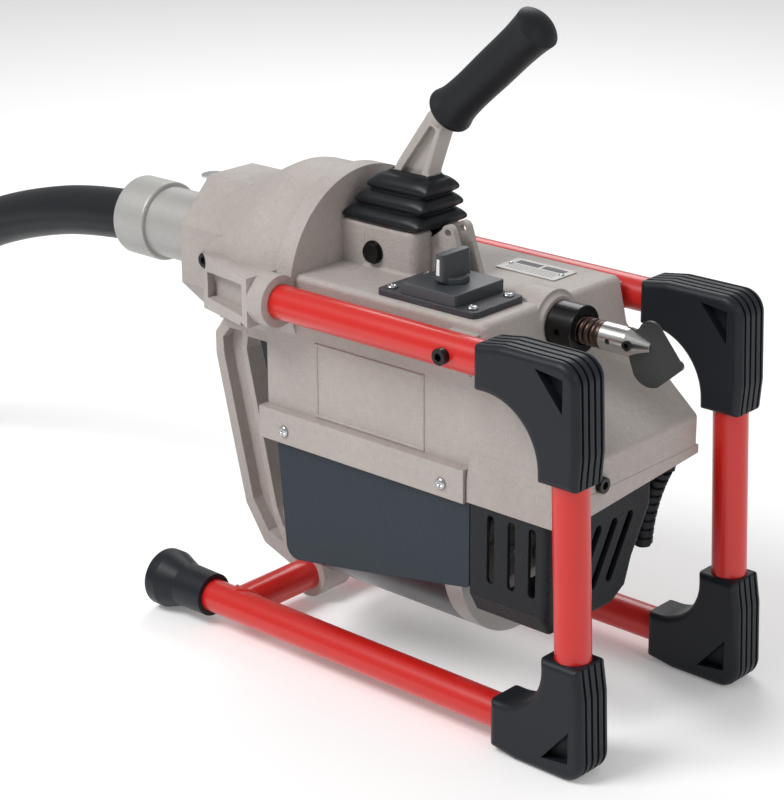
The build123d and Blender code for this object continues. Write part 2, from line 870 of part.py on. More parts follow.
latch_base = spindle_height + sleeve_radius
latch_top = latch_base + touch_gap + latch_hex_height
latch_collar_z = spindle_height + hose_radius + 5.0
with BuildPart() as latch_body:
    with BuildSketch(Plane.XY.offset(latch_base + touch_gap)):
        with Locations((latch_x, 0)):
            RegularPolygon(radius=latch_hex / math.sqrt(3), side_count=6)
    extrude(amount=latch_hex_height)
    with BuildSketch(Plane.XY.offset(spindle_height + hose_radius + 1.5)):
        with Locations((latch_x, 0)):
            Circle(latch_stem_radius)
    extrude(amount=latch_base - spindle_height - hose_radius)
    with BuildSketch(Plane.XY.offset(spindle_height)):
        with Locations((latch_x, 0)):
            Circle(latch_pin_radius + running)
    extrude(amount=100, mode=Mode.SUBTRACT)
    # Chamber for the spring round the pin.
    with BuildSketch(Plane.XY.offset(spindle_height)):
        with Locations((latch_x, 0)):
            Circle(latch_collar_radius + running)
    extrude(amount=latch_top - latch_cap_thickness - spindle_height, mode=Mode.SUBTRACT)
latch_body.part.label = "latch_body"
export_step(latch_body.part, "parts/latch_body.step")

with BuildPart() as latch_pin:
    with BuildSketch(Plane.XY.offset(spindle_height + hose_radius + touch_gap)):
        with Locations((latch_x, 0)):
            Circle(latch_pin_radius)
    extrude(amount=latch_top + 4 - spindle_height - hose_radius - touch_gap)
    with BuildSketch(Plane.XY.offset(latch_collar_z)):
        with Locations((latch_x, 0)):
            Circle(latch_collar_radius)
    extrude(amount=2.0)
    with BuildSketch(Plane.XY.offset(latch_top + touch_gap)):
        with Locations((latch_x, 0)):
            Circle(7.0)
    extrude(amount=2.5)
    with BuildSketch(Plane.XY.offset(latch_top + touch_gap + 2.5)):
        with Locations((latch_x, 0)):
            Circle(7.0)
    with BuildSketch(Plane.XY.offset(latch_top + touch_gap + 4.5)):
        with Locations((latch_x, 0)):
            Circle(latch_head_radius)
    loft()
    with BuildSketch(Plane.XY.offset(latch_top + touch_gap + 4.5)):
        with Locations((latch_x, 0)):
            Circle(latch_head_radius)
    extrude(amount=1.5)
latch_pin.part.label = "latch_pin"
export_step(latch_pin.part, "parts/latch_pin.step")

with BuildPart() as latch_spring:
    with BuildSketch(Plane.XY.offset(latch_collar_z + 2.0 + touch_gap)):
        with Locations((latch_x, 0)):
            Circle(latch_collar_radius - 0.1)
            Circle(latch_pin_radius + 0.4, mode=Mode.SUBTRACT)
    extrude(amount=latch_top - latch_cap_thickness - latch_collar_z - 2.0 - 2 * touch_gap)
latch_spring.part.label = "latch_spring"
export_step(latch_spring.part, "parts/latch_spring.step")

# ---------------------------------------------------------------- spindle and its bearings
with BuildPart() as spindle:
    add(bar_along_x(spindle_rear, spindle_end, spindle_height, spindle_radius))
    add(bar_along_x(head_start, head_end, spindle_height, head_radius))
    add(bar_along_x(belt_front, belt_front + 6, spindle_height, spindle_radius + 4))
    add(
        bar_along_x(spindle_rear - 1, spindle_end + 1, spindle_height, bore_radius),
        mode=Mode.SUBTRACT,
    )
    for index in range(jaw_count):
        turn = 90 + 360 / jaw_count * index
        with BuildSketch(
            Plane(origin=(0, 0, spindle_height), z_dir=(1, 0, 0), x_dir=(0, 1, 0))
            .offset(jaw_start - jaw_side_gap)
        ):
            with PolarLocations(0, 1, start_angle=turn):
                with Locations((head_radius, 0)):
                    Rectangle(2 * head_radius, jaw_width + 2 * jaw_side_gap)
        extrude(amount=jaw_length + 2 * jaw_side_gap, mode=Mode.SUBTRACT)
spindle.part.label = "spindle"
export_step(spindle.part, "parts/spindle.step")

with BuildPart() as spindle_bearings:
    for start in (rear_bearing_x, front_bearing_x):
        add(
            bar_along_x(
                start, start + bearing_width, spindle_height,
                bearing_outer / 2, bore=spindle_radius + running,
            )
        )
        for face in (start, start + bearing_width - 1.0):
            add(
                bar_along_x(face, face + 1.0, spindle_height, 19.0, bore=16.0),
                mode=Mode.SUBTRACT,
            )
spindle_bearings.part.label = "spindle_bearings"
export_step(spindle_bearings.part, "parts/spindle_bearings.step")

with BuildPart() as nose_collar:
    add(
        bar_along_x(
            collar_start, collar_end, spindle_height, collar_outer / 2, bore=spindle_radius
        )
    )
    add(bar_along_x(spindle_end, collar_end, spindle_height, spindle_radius, bore=bore_radius))
    collar_rims = nose_collar.edges().filter_by(GeomType.CIRCLE).filter_by(
        lambda edge: edge.radius > collar_outer / 2 - 0.1
    )
    fillet(collar_rims, radius=1.2)
    add(
        bar_along_y(-collar_outer, 0, (collar_start + collar_end) / 2, spindle_height, 3.0),
        mode=Mode.SUBTRACT,
    )
    add(
        bar_along_x(collar_start - 1, spindle_end, spindle_height, spindle_radius),
        mode=Mode.SUBTRACT,
    )
nose_collar.part.label = "nose_collar"
export_step(nose_collar.part, "parts/nose_collar.step")

with BuildPart() as spindle_pulley:
    add(
        turned(
            [
                (belt_rear, spindle_radius), (belt_rear, 24), (belt_rear + 4, 24),
                (belt_rear + 4, spindle_pulley_radius - 12), (belt_rear, spindle_pulley_radius - 12),
                (belt_rear, spindle_pulley_radius), (belt_front, spindle_pulley_radius),
                (belt_front, spindle_pulley_radius - 12),
                (belt_rear + 10, spindle_pulley_radius - 12), (belt_rear + 10, 24),
                (belt_front, 24), (belt_front, spindle_radius),
            ],
            spindle_height,
        )
    )
    for index in range(pulley_grooves):
        start = belt_rear + 2.0 + index * groove_step
        add(
            bar_along_x(
                start, start + groove_step / 2, spindle_height,
                spindle_pulley_radius + 1, bore=spindle_pulley_radius - 2.5,
            ),
            mode=Mode.SUBTRACT,
        )
spindle_pulley.part.label = "spindle_pulley"
export_step(spindle_pulley.part, "parts/spindle_pulley.step")

# ---------------------------------------------------------------- clutch
jaw_inner = cable_radius + jaw_gap
taper_end = cone_start + taper_length


def taper_radius(x):
    """Radius of the jaws' outer cone at x."""
    return jaw_outer - cone_slope * (x - cone_start)


def jaw(index):
    """One gripping jaw, in its slot of the spindle head."""
    turn = 90 + 360 / jaw_count * index
    end = jaw_start + jaw_length
    with BuildPart() as block:
        with BuildSketch(
            Plane(origin=(0, 0, spindle_height), z_dir=(1, 0, 0), x_dir=(0, 1, 0)).offset(jaw_start)
        ):
            with PolarLocations(0, 1, start_angle=turn):
                with Locations((2 * head_radius, 0)):
                    Rectangle(4 * head_radius, jaw_width)
        extrude(amount=jaw_length)
        add(
            turned(
                [
                    (jaw_start, jaw_inner), (end, jaw_inner),
                    (end, taper_radius(end)), (jaw_start, taper_radius(jaw_start)),
                ],
                spindle_height,
            ),
            mode=Mode.INTERSECT,
        )
    return block.part


for index in range(jaw_count):
    with BuildPart() as clutch_jaw:
        add(jaw(index))
    clutch_jaw.part.label = f"clutch_jaw_{index + 1}"
    export_step(clutch_jaw.part, f"parts/clutch_jaw_{index + 1}.step")

with BuildPart() as clutch_cone:
    groove_middle = pivot_x
    add(
        turned(
            [
                (cone_start, taper_radius(cone_start) + 0.15),
                (taper_end, taper_radius(taper_end) + 0.15),
                (taper_end, head_radius + running),
                (cone_start + cone_length, head_radius + running),
                (cone_start + cone_length, cone_radius),
                (groove_middle + cone_groove_width / 2, cone_radius),
                (groove_middle + cone_groove_width / 2, groove_bottom),
                (groove_middle - cone_groove_width / 2, groove_bottom),
                (groove_middle - cone_groove_width / 2, cone_radius),
                (cone_start, cone_radius),
            ],
            spindle_height,
        )
    )
clutch_cone.part.label = "clutch_cone"
export_step(clutch_cone.part, "parts/clutch_cone.step")

# ---------------------------------------------------------------- lever
arm_outline = [
    (2, 340), (2, 349), (6, 388), (18, 408), (50, 452), (66, 446), (50, 402), (54, 377),
    (34, 357), (21, 349), (21, 338),
]
arm_pocket = [(12, 372), (13, 387), (24, 404), (52, 441), (58, 438), (43, 401), (46, 378), (32, 364)]
fork_outer = block_inside - fork_clearance
with BuildPart() as clutch_lever:
    with BuildSketch(upright(lever_width / 2)):
        with BuildLine():
            FilletPolyline(*arm_outline, close=True, radius=3.0)
        make_face()
    extrude(amount=lever_width)
    edges_to_round = clutch_lever.edges().filter_by(
        lambda edge: abs(abs(edge.center().Y) - lever_width / 2) < 0.1 and edge.center().Z > 360
    )
    fillet(edges_to_round, radius=2.0)
    for flank in (-1, 1):
        pocket_depth = (lever_width - lever_web) / 2
        edge_y = lever_width / 2 if flank > 0 else -lever_width / 2 + pocket_depth
        with BuildSketch(upright(edge_y)):
            with BuildLine():
                FilletPolyline(*arm_pocket, close=True, radius=3.0)
            make_face()
        extrude(amount=pocket_depth, mode=Mode.SUBTRACT)
    # Bridge and fork that reach round the clutch cone.
    add(slab((2, -fork_outer, 333.5), (21, fork_outer, 349)))
    for flank in (-1, 1):
        low_y, high_y = sorted((flank * (fork_outer - fork_arm), flank * fork_outer))
        add(bar_along_y(low_y, high_y, pivot_x, pivot_height, pin_radius + 5))
        add(
            slab(
                (pivot_x - 1.7, low_y, fork_pad_height), (pivot_x + 1.7, high_y, pivot_height)
            )
        )
        add(bar_along_y(low_y, high_y, pivot_x, fork_pad_height, fork_pad_diameter / 2))
    add(
        bar_along_y(-60, -fork_outer + fork_arm, pivot_x, pivot_height, pin_radius + running),
        mode=Mode.SUBTRACT,
    )
    add(
        bar_along_y(fork_outer - fork_arm, 60, pivot_x, pivot_height, pin_radius + running),
        mode=Mode.SUBTRACT,
    )
    # Collar that the grip is pressed on.
    grip_direction = (math.cos(math.radians(grip_angle)), 0, math.sin(math.radians(grip_angle)))
    with BuildSketch(Plane(origin=(grip_start[0], 0, grip_start[1]), z_dir=grip_direction)):
        Circle(grip_collar_radius)
    extrude(amount=-9.3)
    with BuildSketch(Plane(origin=(grip_start[0], 0, grip_start[1]), z_dir=grip_direction)):
        Circle(grip_stem_radius)
    extrude(amount=grip_length - 25)
clutch_lever.part.label = "clutch_lever"
export_step(clutch_lever.part, "parts/clutch_lever.step")

grip_plane = Plane(origin=(grip_start[0], 0, grip_start[1]), z_dir=grip_direction, x_dir=(0, 1, 0))
with BuildPart() as lever_grip:
    with BuildSketch(Plane.XZ) as grip_profile:
        with BuildLine():
            Line((grip_stem_radius, 0), (17, 0))
            Spline(
                (17, 0), (19.2, 3), (18.2, 8), (16.5, 18), (16.3, 60), (17.6, grip_length - 12),
                (18.4, grip_length - 6),
            )
            ThreePointArc(
                (18.4, grip_length - 6), (10.03, grip_length - 0.09), (3, grip_length + 1.82)
            )
            Polyline(
                (3, grip_length + 1.82), (0, grip_length + 1.82), (0, grip_length - 25),
                (grip_stem_radius, grip_length - 25), (grip_stem_radius, 0),
            )
        make_face()
    revolve(axis=Axis.Z)
lever_grip_part = grip_plane.location * lever_grip.part
lever_grip_part.label = "lever_grip"
export_step(lever_grip_part, "parts/lever_grip.step")

with BuildPart() as lever_pins:
    for flank in (-1, 1):
        low_y, high_y = sorted((flank * (fork_outer - fork_arm), flank * (block_half_width + 5)))
        add(bar_along_y(low_y, high_y, pivot_x, pivot_height, pin_radius))
        low_y, high_y = sorted((flank * block_half_width, flank * (block_half_width + 1.5)))
        add(bar_along_y(low_y, high_y, pivot_x, pivot_height, 9.5))
        low_y, high_y = sorted((flank * (block_half_width + 1.5), flank * (block_half_width + 5)))
        add(bar_along_y(low_y, high_y, pivot_x, pivot_height, 7.8))
lever_pins.part.label = "lever_pins"
export_step(lever_pins.part, "parts/lever_pins.step")

with BuildPart() as lever_return_springs:
    for flank in (-1, 1):
        add(
            bar_along_x(
                21 + touch_gap, block_front - block_wall - touch_gap, pivot_height + 7, 4.0,
                flank * 15.5, bore=2.8,
            )
        )
lever_return_springs.part.label = "lever_return_springs"
export_step(lever_return_springs.part, "parts/lever_return_springs.step")

with BuildPart() as lever_boot:
    for low_x, high_x, half_y, low_z, high_z in (
        (-22.5, 59, 27, block_top, block_top + 4),
        (-21.5, 62, 26, block_top + 4, block_top + 13),
        (-14, 57, 23, block_top + 13, block_top + 25),
        (-8, 50, 19, block_top + 25, block_top + 38),
    ):
        with BuildSketch(Plane.XY.offset(low_z)):
            with Locations(((low_x + high_x) / 2, 0)):
                RectangleRounded(high_x - low_x, 2 * half_y, 8)
        extrude(amount=high_z - low_z)
        ring_edges = lever_boot.faces().sort_by(Axis.Z)[-1].edges()
        fillet(ring_edges, radius=1.8)
    with BuildSketch(Plane.XY.offset(block_top - 1)):
        with Locations((pivot_x + 14, 0)):
            RectangleRounded(60, 2 * slot_half - 2, 5)
    extrude(amount=60, mode=Mode.SUBTRACT)
    add(slab((30, -30, block_top + 25), (80, 30, block_top + 40)), mode=Mode.SUBTRACT)
lever_boot.part.label = "lever_boot"
export_step(lever_boot.part, "parts/lever_boot.step")

# ---------------------------------------------------------------- cable and cutter
with BuildPart() as drain_cable:
    add(bar_along_x(cable_rear, coupling_start, spindle_height, cable_radius - 1.2))
    turns = int((coupling_start - cable_rear) / cable_pitch)
    for index in range(turns):
        start = cable_rear + index * cable_pitch
        add(
            turned(
                [
                    (start + 0.2, 0), (start + 0.2, cable_radius - 1.0), (start + 1.4, cable_radius),
                    (start + cable_pitch - 1.4, cable_radius),
                    (start + cable_pitch - 0.2, cable_radius - 1.0), (start + cable_pitch - 0.2, 0),
                ],
                spindle_height,
            )
        )
drain_cable.part.label = "drain_cable"
export_step(drain_cable.part, "parts/drain_cable.step")

coupling_end = coupling_start + coupling_length
blade_outline = [
    (250, spindle_height + 13), (262, spindle_height + 20), (270, spindle_height + 14),
    (286, spindle_height - 5), (289, spindle_height - 11), (262, spindle_height - 30),
    (246, spindle_height - 24),
]
with BuildPart() as cutter_coupling:
    add(
        turned(
            [
                (coupling_start, 0), (coupling_start, cable_radius),
                (coupling_end - 19, cable_radius), (coupling_end, 4.0), (coupling_end, 0),
            ],
            spindle_height,
        )
    )
    add(
        slab(
            (coupling_start + 20, -blade_thickness / 2, spindle_height - 40),
            (coupling_end + 5, blade_thickness / 2, spindle_height + 40),
        ),
        mode=Mode.SUBTRACT,
    )
    add(
        bar_along_y(-40, 40, coupling_start + 9, spindle_height, 2.2),
        mode=Mode.SUBTRACT,
    )
    add(
        bar_along_y(-40, 40, coupling_start + 26, spindle_height, cutter_screw_radius),
        mode=Mode.SUBTRACT,
    )
cutter_coupling.part.label = "cutter_coupling"
export_step(cutter_coupling.part, "parts/cutter_coupling.step")

with BuildPart() as spade_cutter:
    with BuildSketch(upright(blade_thickness / 2)):
        with BuildLine():
            Polyline(
                (coupling_start + 20.2, spindle_height - 6), (coupling_start + 20.2, spindle_height + 6),
                blade_outline[0],
            )
            ThreePointArc(blade_outline[0], blade_outline[1], blade_outline[2])
            Polyline(blade_outline[2], blade_outline[3])
            ThreePointArc(blade_outline[3], (289.3, spindle_height - 7.5), blade_outline[4])
            Polyline(blade_outline[4], (268, spindle_height - 29.5))
            ThreePointArc((268, spindle_height - 29.5), (257, spindle_height - 31), blade_outline[6])
            Polyline(blade_outline[6], (coupling_start + 20.2, spindle_height - 6))
        make_face()
    extrude(amount=blade_thickness)
    add(
        bar_along_y(-10, 10, coupling_start + 26, spindle_height, cutter_screw_radius),
        mode=Mode.SUBTRACT,
    )
spade_cutter.part.label = "spade_cutter"
export_step(spade_cutter.part, "parts/spade_cutter.step")

with BuildPart() as cutter_screw:
    add(bar_along_y(-10.2, 9.0, coupling_start + 26, spindle_height, cutter_screw_radius))
    with BuildSketch(Plane(origin=(coupling_start + 26, -10.2, spindle_height), z_dir=(0, -1, 0))):
        RegularPolygon(radius=2.3, side_count=6)
    extrude(amount=-2.5, mode=Mode.SUBTRACT)
cutter_screw.part.label = "cutter_screw"
export_step(cutter_screw.part, "parts/cutter_screw.step")

# ---------------------------------------------------------------- motor
shaft_radius = shaft_diameter / 2
stator_outer = motor_can_radius - motor_can_wall
brush_x = 107.0
brush_radius = 6.0

with BuildPart() as motor_can:
    add(
        bar_along_x(
            motor_can_rear, motor_can_front, motor_height, motor_can_radius, bore=stator_outer
        )
    )
    add(bar_along_y(-100, 100, brush_x, motor_height, brush_radius), mode=Mode.SUBTRACT)
motor_can.part.label = "motor_can"
export_step(motor_can.part, "parts/motor_can.step")

with BuildPart() as motor_stator:
    add(bar_along_x(-10, 92, motor_height, stator_outer, bore=stator_bore))
motor_stator.part.label = "motor_stator"
export_step(motor_stator.part, "parts/motor_stator.step")

bearing_seats = (bell_rear_x + 3, motor_can_front + 4)
for name, start, seat, hollow in (
    ("motor_rear_bell", bell_rear_x, bearing_seats[0], bell_rear_x + 6),
    ("motor_front_bell", motor_can_front, bearing_seats[1], motor_can_front - 1),
):
    with BuildPart() as bell:
        add(bar_along_x(start, start + bell_length, motor_height, motor_can_radius))
        add(
            slab(
                (start + 3, -45, motor_height + 60), (start + bell_length - 1, 45, housing_bottom)
            )
        )
        add(
            bar_along_x(
                hollow, hollow + bell_length - 5, motor_height, stator_outer - 6,
                bore=motor_bearing_outer / 2 + 4,
            ),
            mode=Mode.SUBTRACT,
        )
        add(
            bar_along_x(seat, seat + motor_bearing_width, motor_height, motor_bearing_outer / 2),
            mode=Mode.SUBTRACT,
        )
        add(
            bar_along_x(start - 1, start + bell_length + 1, motor_height, shaft_radius + loose),
            mode=Mode.SUBTRACT,
        )
        with Locations(*[(x, y, housing_bottom) for x, y in motor_bolt_places]):
            Cylinder(motor_bolt_radius, 24, mode=Mode.SUBTRACT)
    bell.part.label = name
    export_step(bell.part, f"parts/{name}.step")

with BuildPart() as motor_bearings:
    for seat in bearing_seats:
        add(
            bar_along_x(
                seat, seat + motor_bearing_width, motor_height,
                motor_bearing_outer / 2, bore=shaft_radius + running,
            )
        )
motor_bearings.part.label = "motor_bearings"
export_step(motor_bearings.part, "parts/motor_bearings.step")

with BuildPart() as armature:
    add(bar_along_x(belt_rear - 2, 163, motor_height, shaft_radius))
    add(bar_along_x(-8, 90, motor_height, stator_bore - loose))
    add(bar_along_x(97, 116, motor_height, 16))
    with BuildSketch(across(-9, motor_height)):
        with PolarLocations(stator_bore - 4, 12):
            Rectangle(7, 2.5)
    extrude(amount=100, mode=Mode.SUBTRACT)
armature.part.label = "armature"
export_step(armature.part, "parts/armature.step")

with BuildPart() as motor_brushes:
    for low_y, high_y in ((-motor_can_radius - 3, -16.5), (16.5, motor_can_radius + 3)):
        add(bar_along_y(low_y, high_y, brush_x, motor_height, brush_radius))
motor_brushes.part.label = "motor_brushes"
export_step(motor_brushes.part, "parts/motor_brushes.step")

with BuildPart() as motor_fan:
    add(bar_along_x(143, 158, motor_height, 15))
    add(bar_along_x(143, 145.5, motor_height, fan_radius))
    with BuildSketch(across(144, motor_height)):
        with PolarLocations((fan_radius + 14) / 2, fan_blades):
            Rectangle(fan_radius - 14, 2)
    extrude(amount=14)
    add(bar_along_x(140, 160, motor_height, shaft_radius), mode=Mode.SUBTRACT)
motor_fan.part.label = "motor_fan"
export_step(motor_fan.part, "parts/motor_fan.step")

with BuildPart() as motor_pulley:
    add(
        bar_along_x(
            belt_rear, belt_front, motor_height, motor_pulley_radius, bore=shaft_radius
        )
    )
    for index in range(pulley_grooves):
        start = belt_rear + 2.0 + index * groove_step
        add(
            bar_along_x(
                start, start + groove_step / 2, motor_height,
                motor_pulley_radius + 1, bore=motor_pulley_radius - 2.5,
            ),
            mode=Mode.SUBTRACT,
        )
motor_pulley.part.label = "motor_pulley"
export_step(motor_pulley.part, "parts/motor_pulley.step")

with BuildPart() as drive_belt:
    add(belt_loop(belt_thickness + touch_gap, belt_rear + 1, belt_width - 2))
    add(belt_loop(touch_gap, belt_rear, belt_width), mode=Mode.SUBTRACT)
drive_belt.part.label = "drive_belt"
export_step(drive_belt.part, "parts/drive_belt.step")

guard_rear = drum_rear - 4
with BuildPart() as belt_guard:
    add(belt_loop(belt_thickness + 6.0, guard_rear, housing_rear - touch_gap - guard_rear))
    add(
        belt_loop(belt_thickness + 3.5, guard_rear + 2.5, housing_rear - guard_rear),
        mode=Mode.SUBTRACT,
    )
    split(bisect_by=Plane.XY.offset(lip_bottom - touch_gap), keep=Keep.BOTTOM)
belt_guard.part.label = "belt_guard"
export_step(belt_guard.part, "parts/belt_guard.step")

# ---------------------------------------------------------------- covers
cover_top = housing_bottom - 0.5
cover_outline = [
    (-45, cover_top), (-35, 77), (47, 90), (160, 110), (160, cover_top),
]
for name, flank in (("right_side_cover", -1), ("left_side_cover", 1)):
    low_y, high_y = sorted((flank * cover_half_width, flank * (cover_half_width - cover_thickness)))
    with BuildPart() as side_cover:
        with BuildSketch(upright(high_y)):
            with BuildLine():
                FilletPolyline(*cover_outline, close=True, radius=[0.5, 12, 30, 4, 0.5])
            make_face()
        extrude(amount=high_y - low_y)
        for screw_x in cover_screw_x:
            add(bar_along_y(-120, 120, screw_x, cover_screw_z, cover_screw_radius), mode=Mode.SUBTRACT)
    side_cover.part.label = name
    export_step(side_cover.part, f"parts/{name}.step")

front_outline = [
    (-cover_half_width, cover_top), (-cover_half_width, 106), (-78, 90), (-4, 90), (14, 100),
    (22, 122), (44, 160), (44, cover_top),
]
with BuildPart() as front_motor_cover:
    with BuildSketch(across(front_cover_rear)):
        Polygon(*front_outline, align=None)
    extrude(amount=front_cover_front - front_cover_rear)
    corners = front_motor_cover.edges().filter_by(
        lambda edge: abs(edge.center().X - front_cover_front) < 0.1 and edge.center().Z < cover_top - 1
    )
    fillet(corners, radius=7.0)
    with BuildSketch(across(front_cover_rear - 1)):
        Polygon(*front_outline, align=None)
        offset(amount=-front_cover_wall, mode=Mode.REPLACE)
        with Locations((-21, cover_top)):
            Rectangle(120, 20)
    extrude(amount=front_cover_front - front_cover_rear - front_cover_wall + 1, mode=Mode.SUBTRACT)
    for slot_x in (181, 201, 221):
        with BuildSketch(upright(-cover_half_width + 8)):
            with Locations((slot_x, 148)):
                SlotOverall(56, 7, rotation=90)
        extrude(amount=16, mode=Mode.SUBTRACT)
    for slot_y in (-62, -42, -22, -2):
        with BuildSketch(across(front_cover_front - 8)):
            with Locations((slot_y + 4, 138)):
                SlotOverall(58, 8, rotation=60)
        extrude(amount=16, mode=Mode.SUBTRACT)
front_motor_cover.part.label = "front_motor_cover"
export_step(front_motor_cover.part, "parts/front_motor_cover.step")

# ---------------------------------------------------------------- switch and nameplate
plate_top = deck_height + plate_thickness
bezel_top = plate_top + bezel_thickness
knob_shaft = 4.0
with BuildPart() as switch_plate:
    with BuildSketch(Plane.XY.offset(deck_height)):
        with Locations((plate_x, plate_y)):
            RectangleRounded(plate_length, plate_width, 5)
        with Locations((knob_x, knob_y)):
            Circle(knob_shaft + running, mode=Mode.SUBTRACT)
        with Locations(*plate_screw_places):
            Circle(plate_screw_radius, mode=Mode.SUBTRACT)
    extrude(amount=plate_thickness)
    fillet(switch_plate.faces().sort_by(Axis.Z)[-1].outer_wire().edges(), radius=1.0)
switch_plate.part.label = "switch_plate"
export_step(switch_plate.part, "parts/switch_plate.step")

with BuildPart() as switch_bezel:
    with BuildSketch(Plane.XY.offset(plate_top)):
        with Locations((knob_x, knob_y)):
            RectangleRounded(bezel_length, bezel_width, 2.5)
            Circle(knob_shaft + running, mode=Mode.SUBTRACT)
    extrude(amount=bezel_thickness)
    fillet(switch_bezel.faces().sort_by(Axis.Z)[-1].outer_wire().edges(), radius=1.2)
switch_bezel.part.label = "switch_bezel"
export_step(switch_bezel.part, "parts/switch_bezel.step")

with BuildPart() as switch_knob:
    with BuildSketch(Plane.XY.offset(bezel_top + touch_gap)):
        with Locations((knob_x, knob_y)):
            Circle(knob_diameter / 2)
    extrude(amount=5.0)
    fillet(switch_knob.faces().sort_by(Axis.Z)[-1].edges(), radius=1.5)
    with BuildSketch(Plane.XY.offset(bezel_top + 3.0)):
        with Locations((knob_x, knob_y)):
            RectangleRounded(paddle_thickness + 1, paddle_length, 3)
    with BuildSketch(Plane.XY.offset(bezel_top + touch_gap + paddle_height)):
        with Locations((knob_x, knob_y)):
            RectangleRounded(paddle_thickness - 1.5, paddle_length - 1, 2.5)
    loft()
    with BuildSketch(Plane.XY.offset(deck_inside - 3)):
        with Locations((knob_x, knob_y)):
            Circle(knob_shaft)
    extrude(amount=bezel_top + 2 - deck_inside + 3)
switch_knob.part.label = "switch_knob"
export_step(switch_knob.part, "parts/switch_knob.step")

with BuildPart() as switch_body:
    add(slab((knob_x - 22, knob_y - 19, 288), (knob_x + 22, knob_y + 19, deck_height)))
    with Locations((knob_x, knob_y, deck_height)):
        Cylinder(knob_shaft + running, 20, mode=Mode.SUBTRACT)
switch_body.part.label = "switch_body"
export_step(switch_body.part, "parts/switch_body.step")

with BuildPart() as nameplate:
    with BuildSketch(Plane.XY.offset(deck_height)):
        with Locations((nameplate_x, nameplate_y)):
            RectangleRounded(nameplate_length, nameplate_width, 1.5)
        with Locations(*[(x, nameplate_y) for x in rivet_places]):
            Circle(rivet_radius, mode=Mode.SUBTRACT)
    extrude(amount=nameplate_thickness)
nameplate.part.label = "nameplate"
export_step(nameplate.part, "parts/nameplate.step")

# ---------------------------------------------------------------- cord gland
with BuildPart() as cable_gland:
    with BuildSketch(Plane.XY.offset(housing_bottom - gland_nut_height)):
        with Locations((gland_x, gland_y)):
            RegularPolygon(radius=gland_nut / 2, side_count=6)
    extrude(amount=gland_nut_height - touch_gap)
    with BuildSketch(Plane.XY.offset(housing_bottom - 2)):
        with Locations((gland_x, gland_y)):
            Circle(gland_stem_radius)
    extrude(amount=gland_floor - housing_bottom + 6)
    with Locations((gland_x, gland_y, housing_bottom)):
        Cylinder(gland_bore, 60, mode=Mode.SUBTRACT)
cable_gland.part.label = "cable_gland"
export_step(cable_gland.part, "parts/cable_gland.step")

relief_top = housing_bottom - gland_nut_height
with BuildPart() as gland_bend_relief:
    with BuildLine(Plane(origin=(0, gland_y, 0), x_dir=(1, 0, 0), z_dir=(0, -1, 0))) as bend:
        RadiusArc(
            (gland_x, relief_top), (gland_x - 16, relief_top - relief_length), -relief_bend_radius
        )
    with BuildSketch(Plane(origin=(gland_x, gland_y, relief_top), z_dir=bend.edges()[0] % 0)):
        Circle(relief_radius - 2.5)
    sweep(path=bend.wire())
    for index in range(relief_rings):
        ring_place = bend.edges()[0].location_at((index + 0.35) / relief_rings)
        with Locations(ring_place):
            Cylinder(relief_radius - 0.12 * index, relief_length / relief_rings * 0.6)
    with BuildSketch(Plane(origin=(gland_x, gland_y, relief_top), z_dir=bend.edges()[0] % 0)):
        Circle(gland_bore)
    sweep(path=bend.wire(), mode=Mode.SUBTRACT)
    split(bisect_by=Plane.XY.offset(relief_top - 0.01), keep=Keep.BOTTOM)
gland_bend_relief.part.label = "gland_bend_relief"
export_step(gland_bend_relief.part, "parts/gland_bend_relief.step")

# ---------------------------------------------------------------- screws


def socket_screw(place, direction, length, head_height):
    """A socket head screw whose head sits on the face at place and looks along direction."""
    with BuildPart() as screw:
        with BuildSketch(Plane(origin=place, z_dir=direction)):
            Circle(frame_screw_head)
        extrude(amount=head_height)
        rim = screw.faces().sort_by(Axis(place, direction))[-1].edges()
        fillet(rim, radius=0.8)
        with BuildSketch(Plane(origin=place, z_dir=direction)):
            Circle(frame_screw_radius)
        extrude(amount=-length)
        top = tuple(a + b * head_height for a, b in zip(place, direction))
        with BuildSketch(Plane(origin=top, z_dir=direction)):
            RegularPolygon(radius=3.4, side_count=6)
        extrude(amount=-head_height * 0.7, mode=Mode.SUBTRACT)
    return screw.part


adapter_screw_length = neck_flat - sleeve_radius - 0.2
tube_outer_side = half_spacing + tube_radius
with BuildPart() as frame_screws:
    for flank in (-1, 1):
        add(
            socket_screw(
                (clamp_x, flank * tube_outer_side, upper_tube_height), (0, flank, 0), 36.0, 5.5
            )
        )
    add(socket_screw((housing_front, face_screw_y, face_screw_z), (1, 0, 0), 9.0, 4.5))
    add(
        socket_screw(
            (adapter_screw_x, -neck_flat, spindle_height), (0, -1, 0), adapter_screw_length, 3.0
        )
    )
frame_screws.part.label = "frame_screws"
export_step(frame_screws.part, "parts/frame_screws.step")

with BuildPart() as cover_screws:
    for flank in (-1, 1):
        for screw_x in cover_screw_x:
            low_y, high_y = sorted((flank * (cover_half_width - 6), flank * rail_half_width))
            add(bar_along_y(low_y, high_y, screw_x, cover_screw_z, cover_screw_radius))
            with BuildSketch(
                Plane(origin=(screw_x, flank * rail_half_width, cover_screw_z), z_dir=(0, flank, 0))
            ):
                Circle(4.6)
            extrude(amount=2.6, taper=18)
cover_screws.part.label = "cover_screws"
export_step(cover_screws.part, "parts/cover_screws.step")

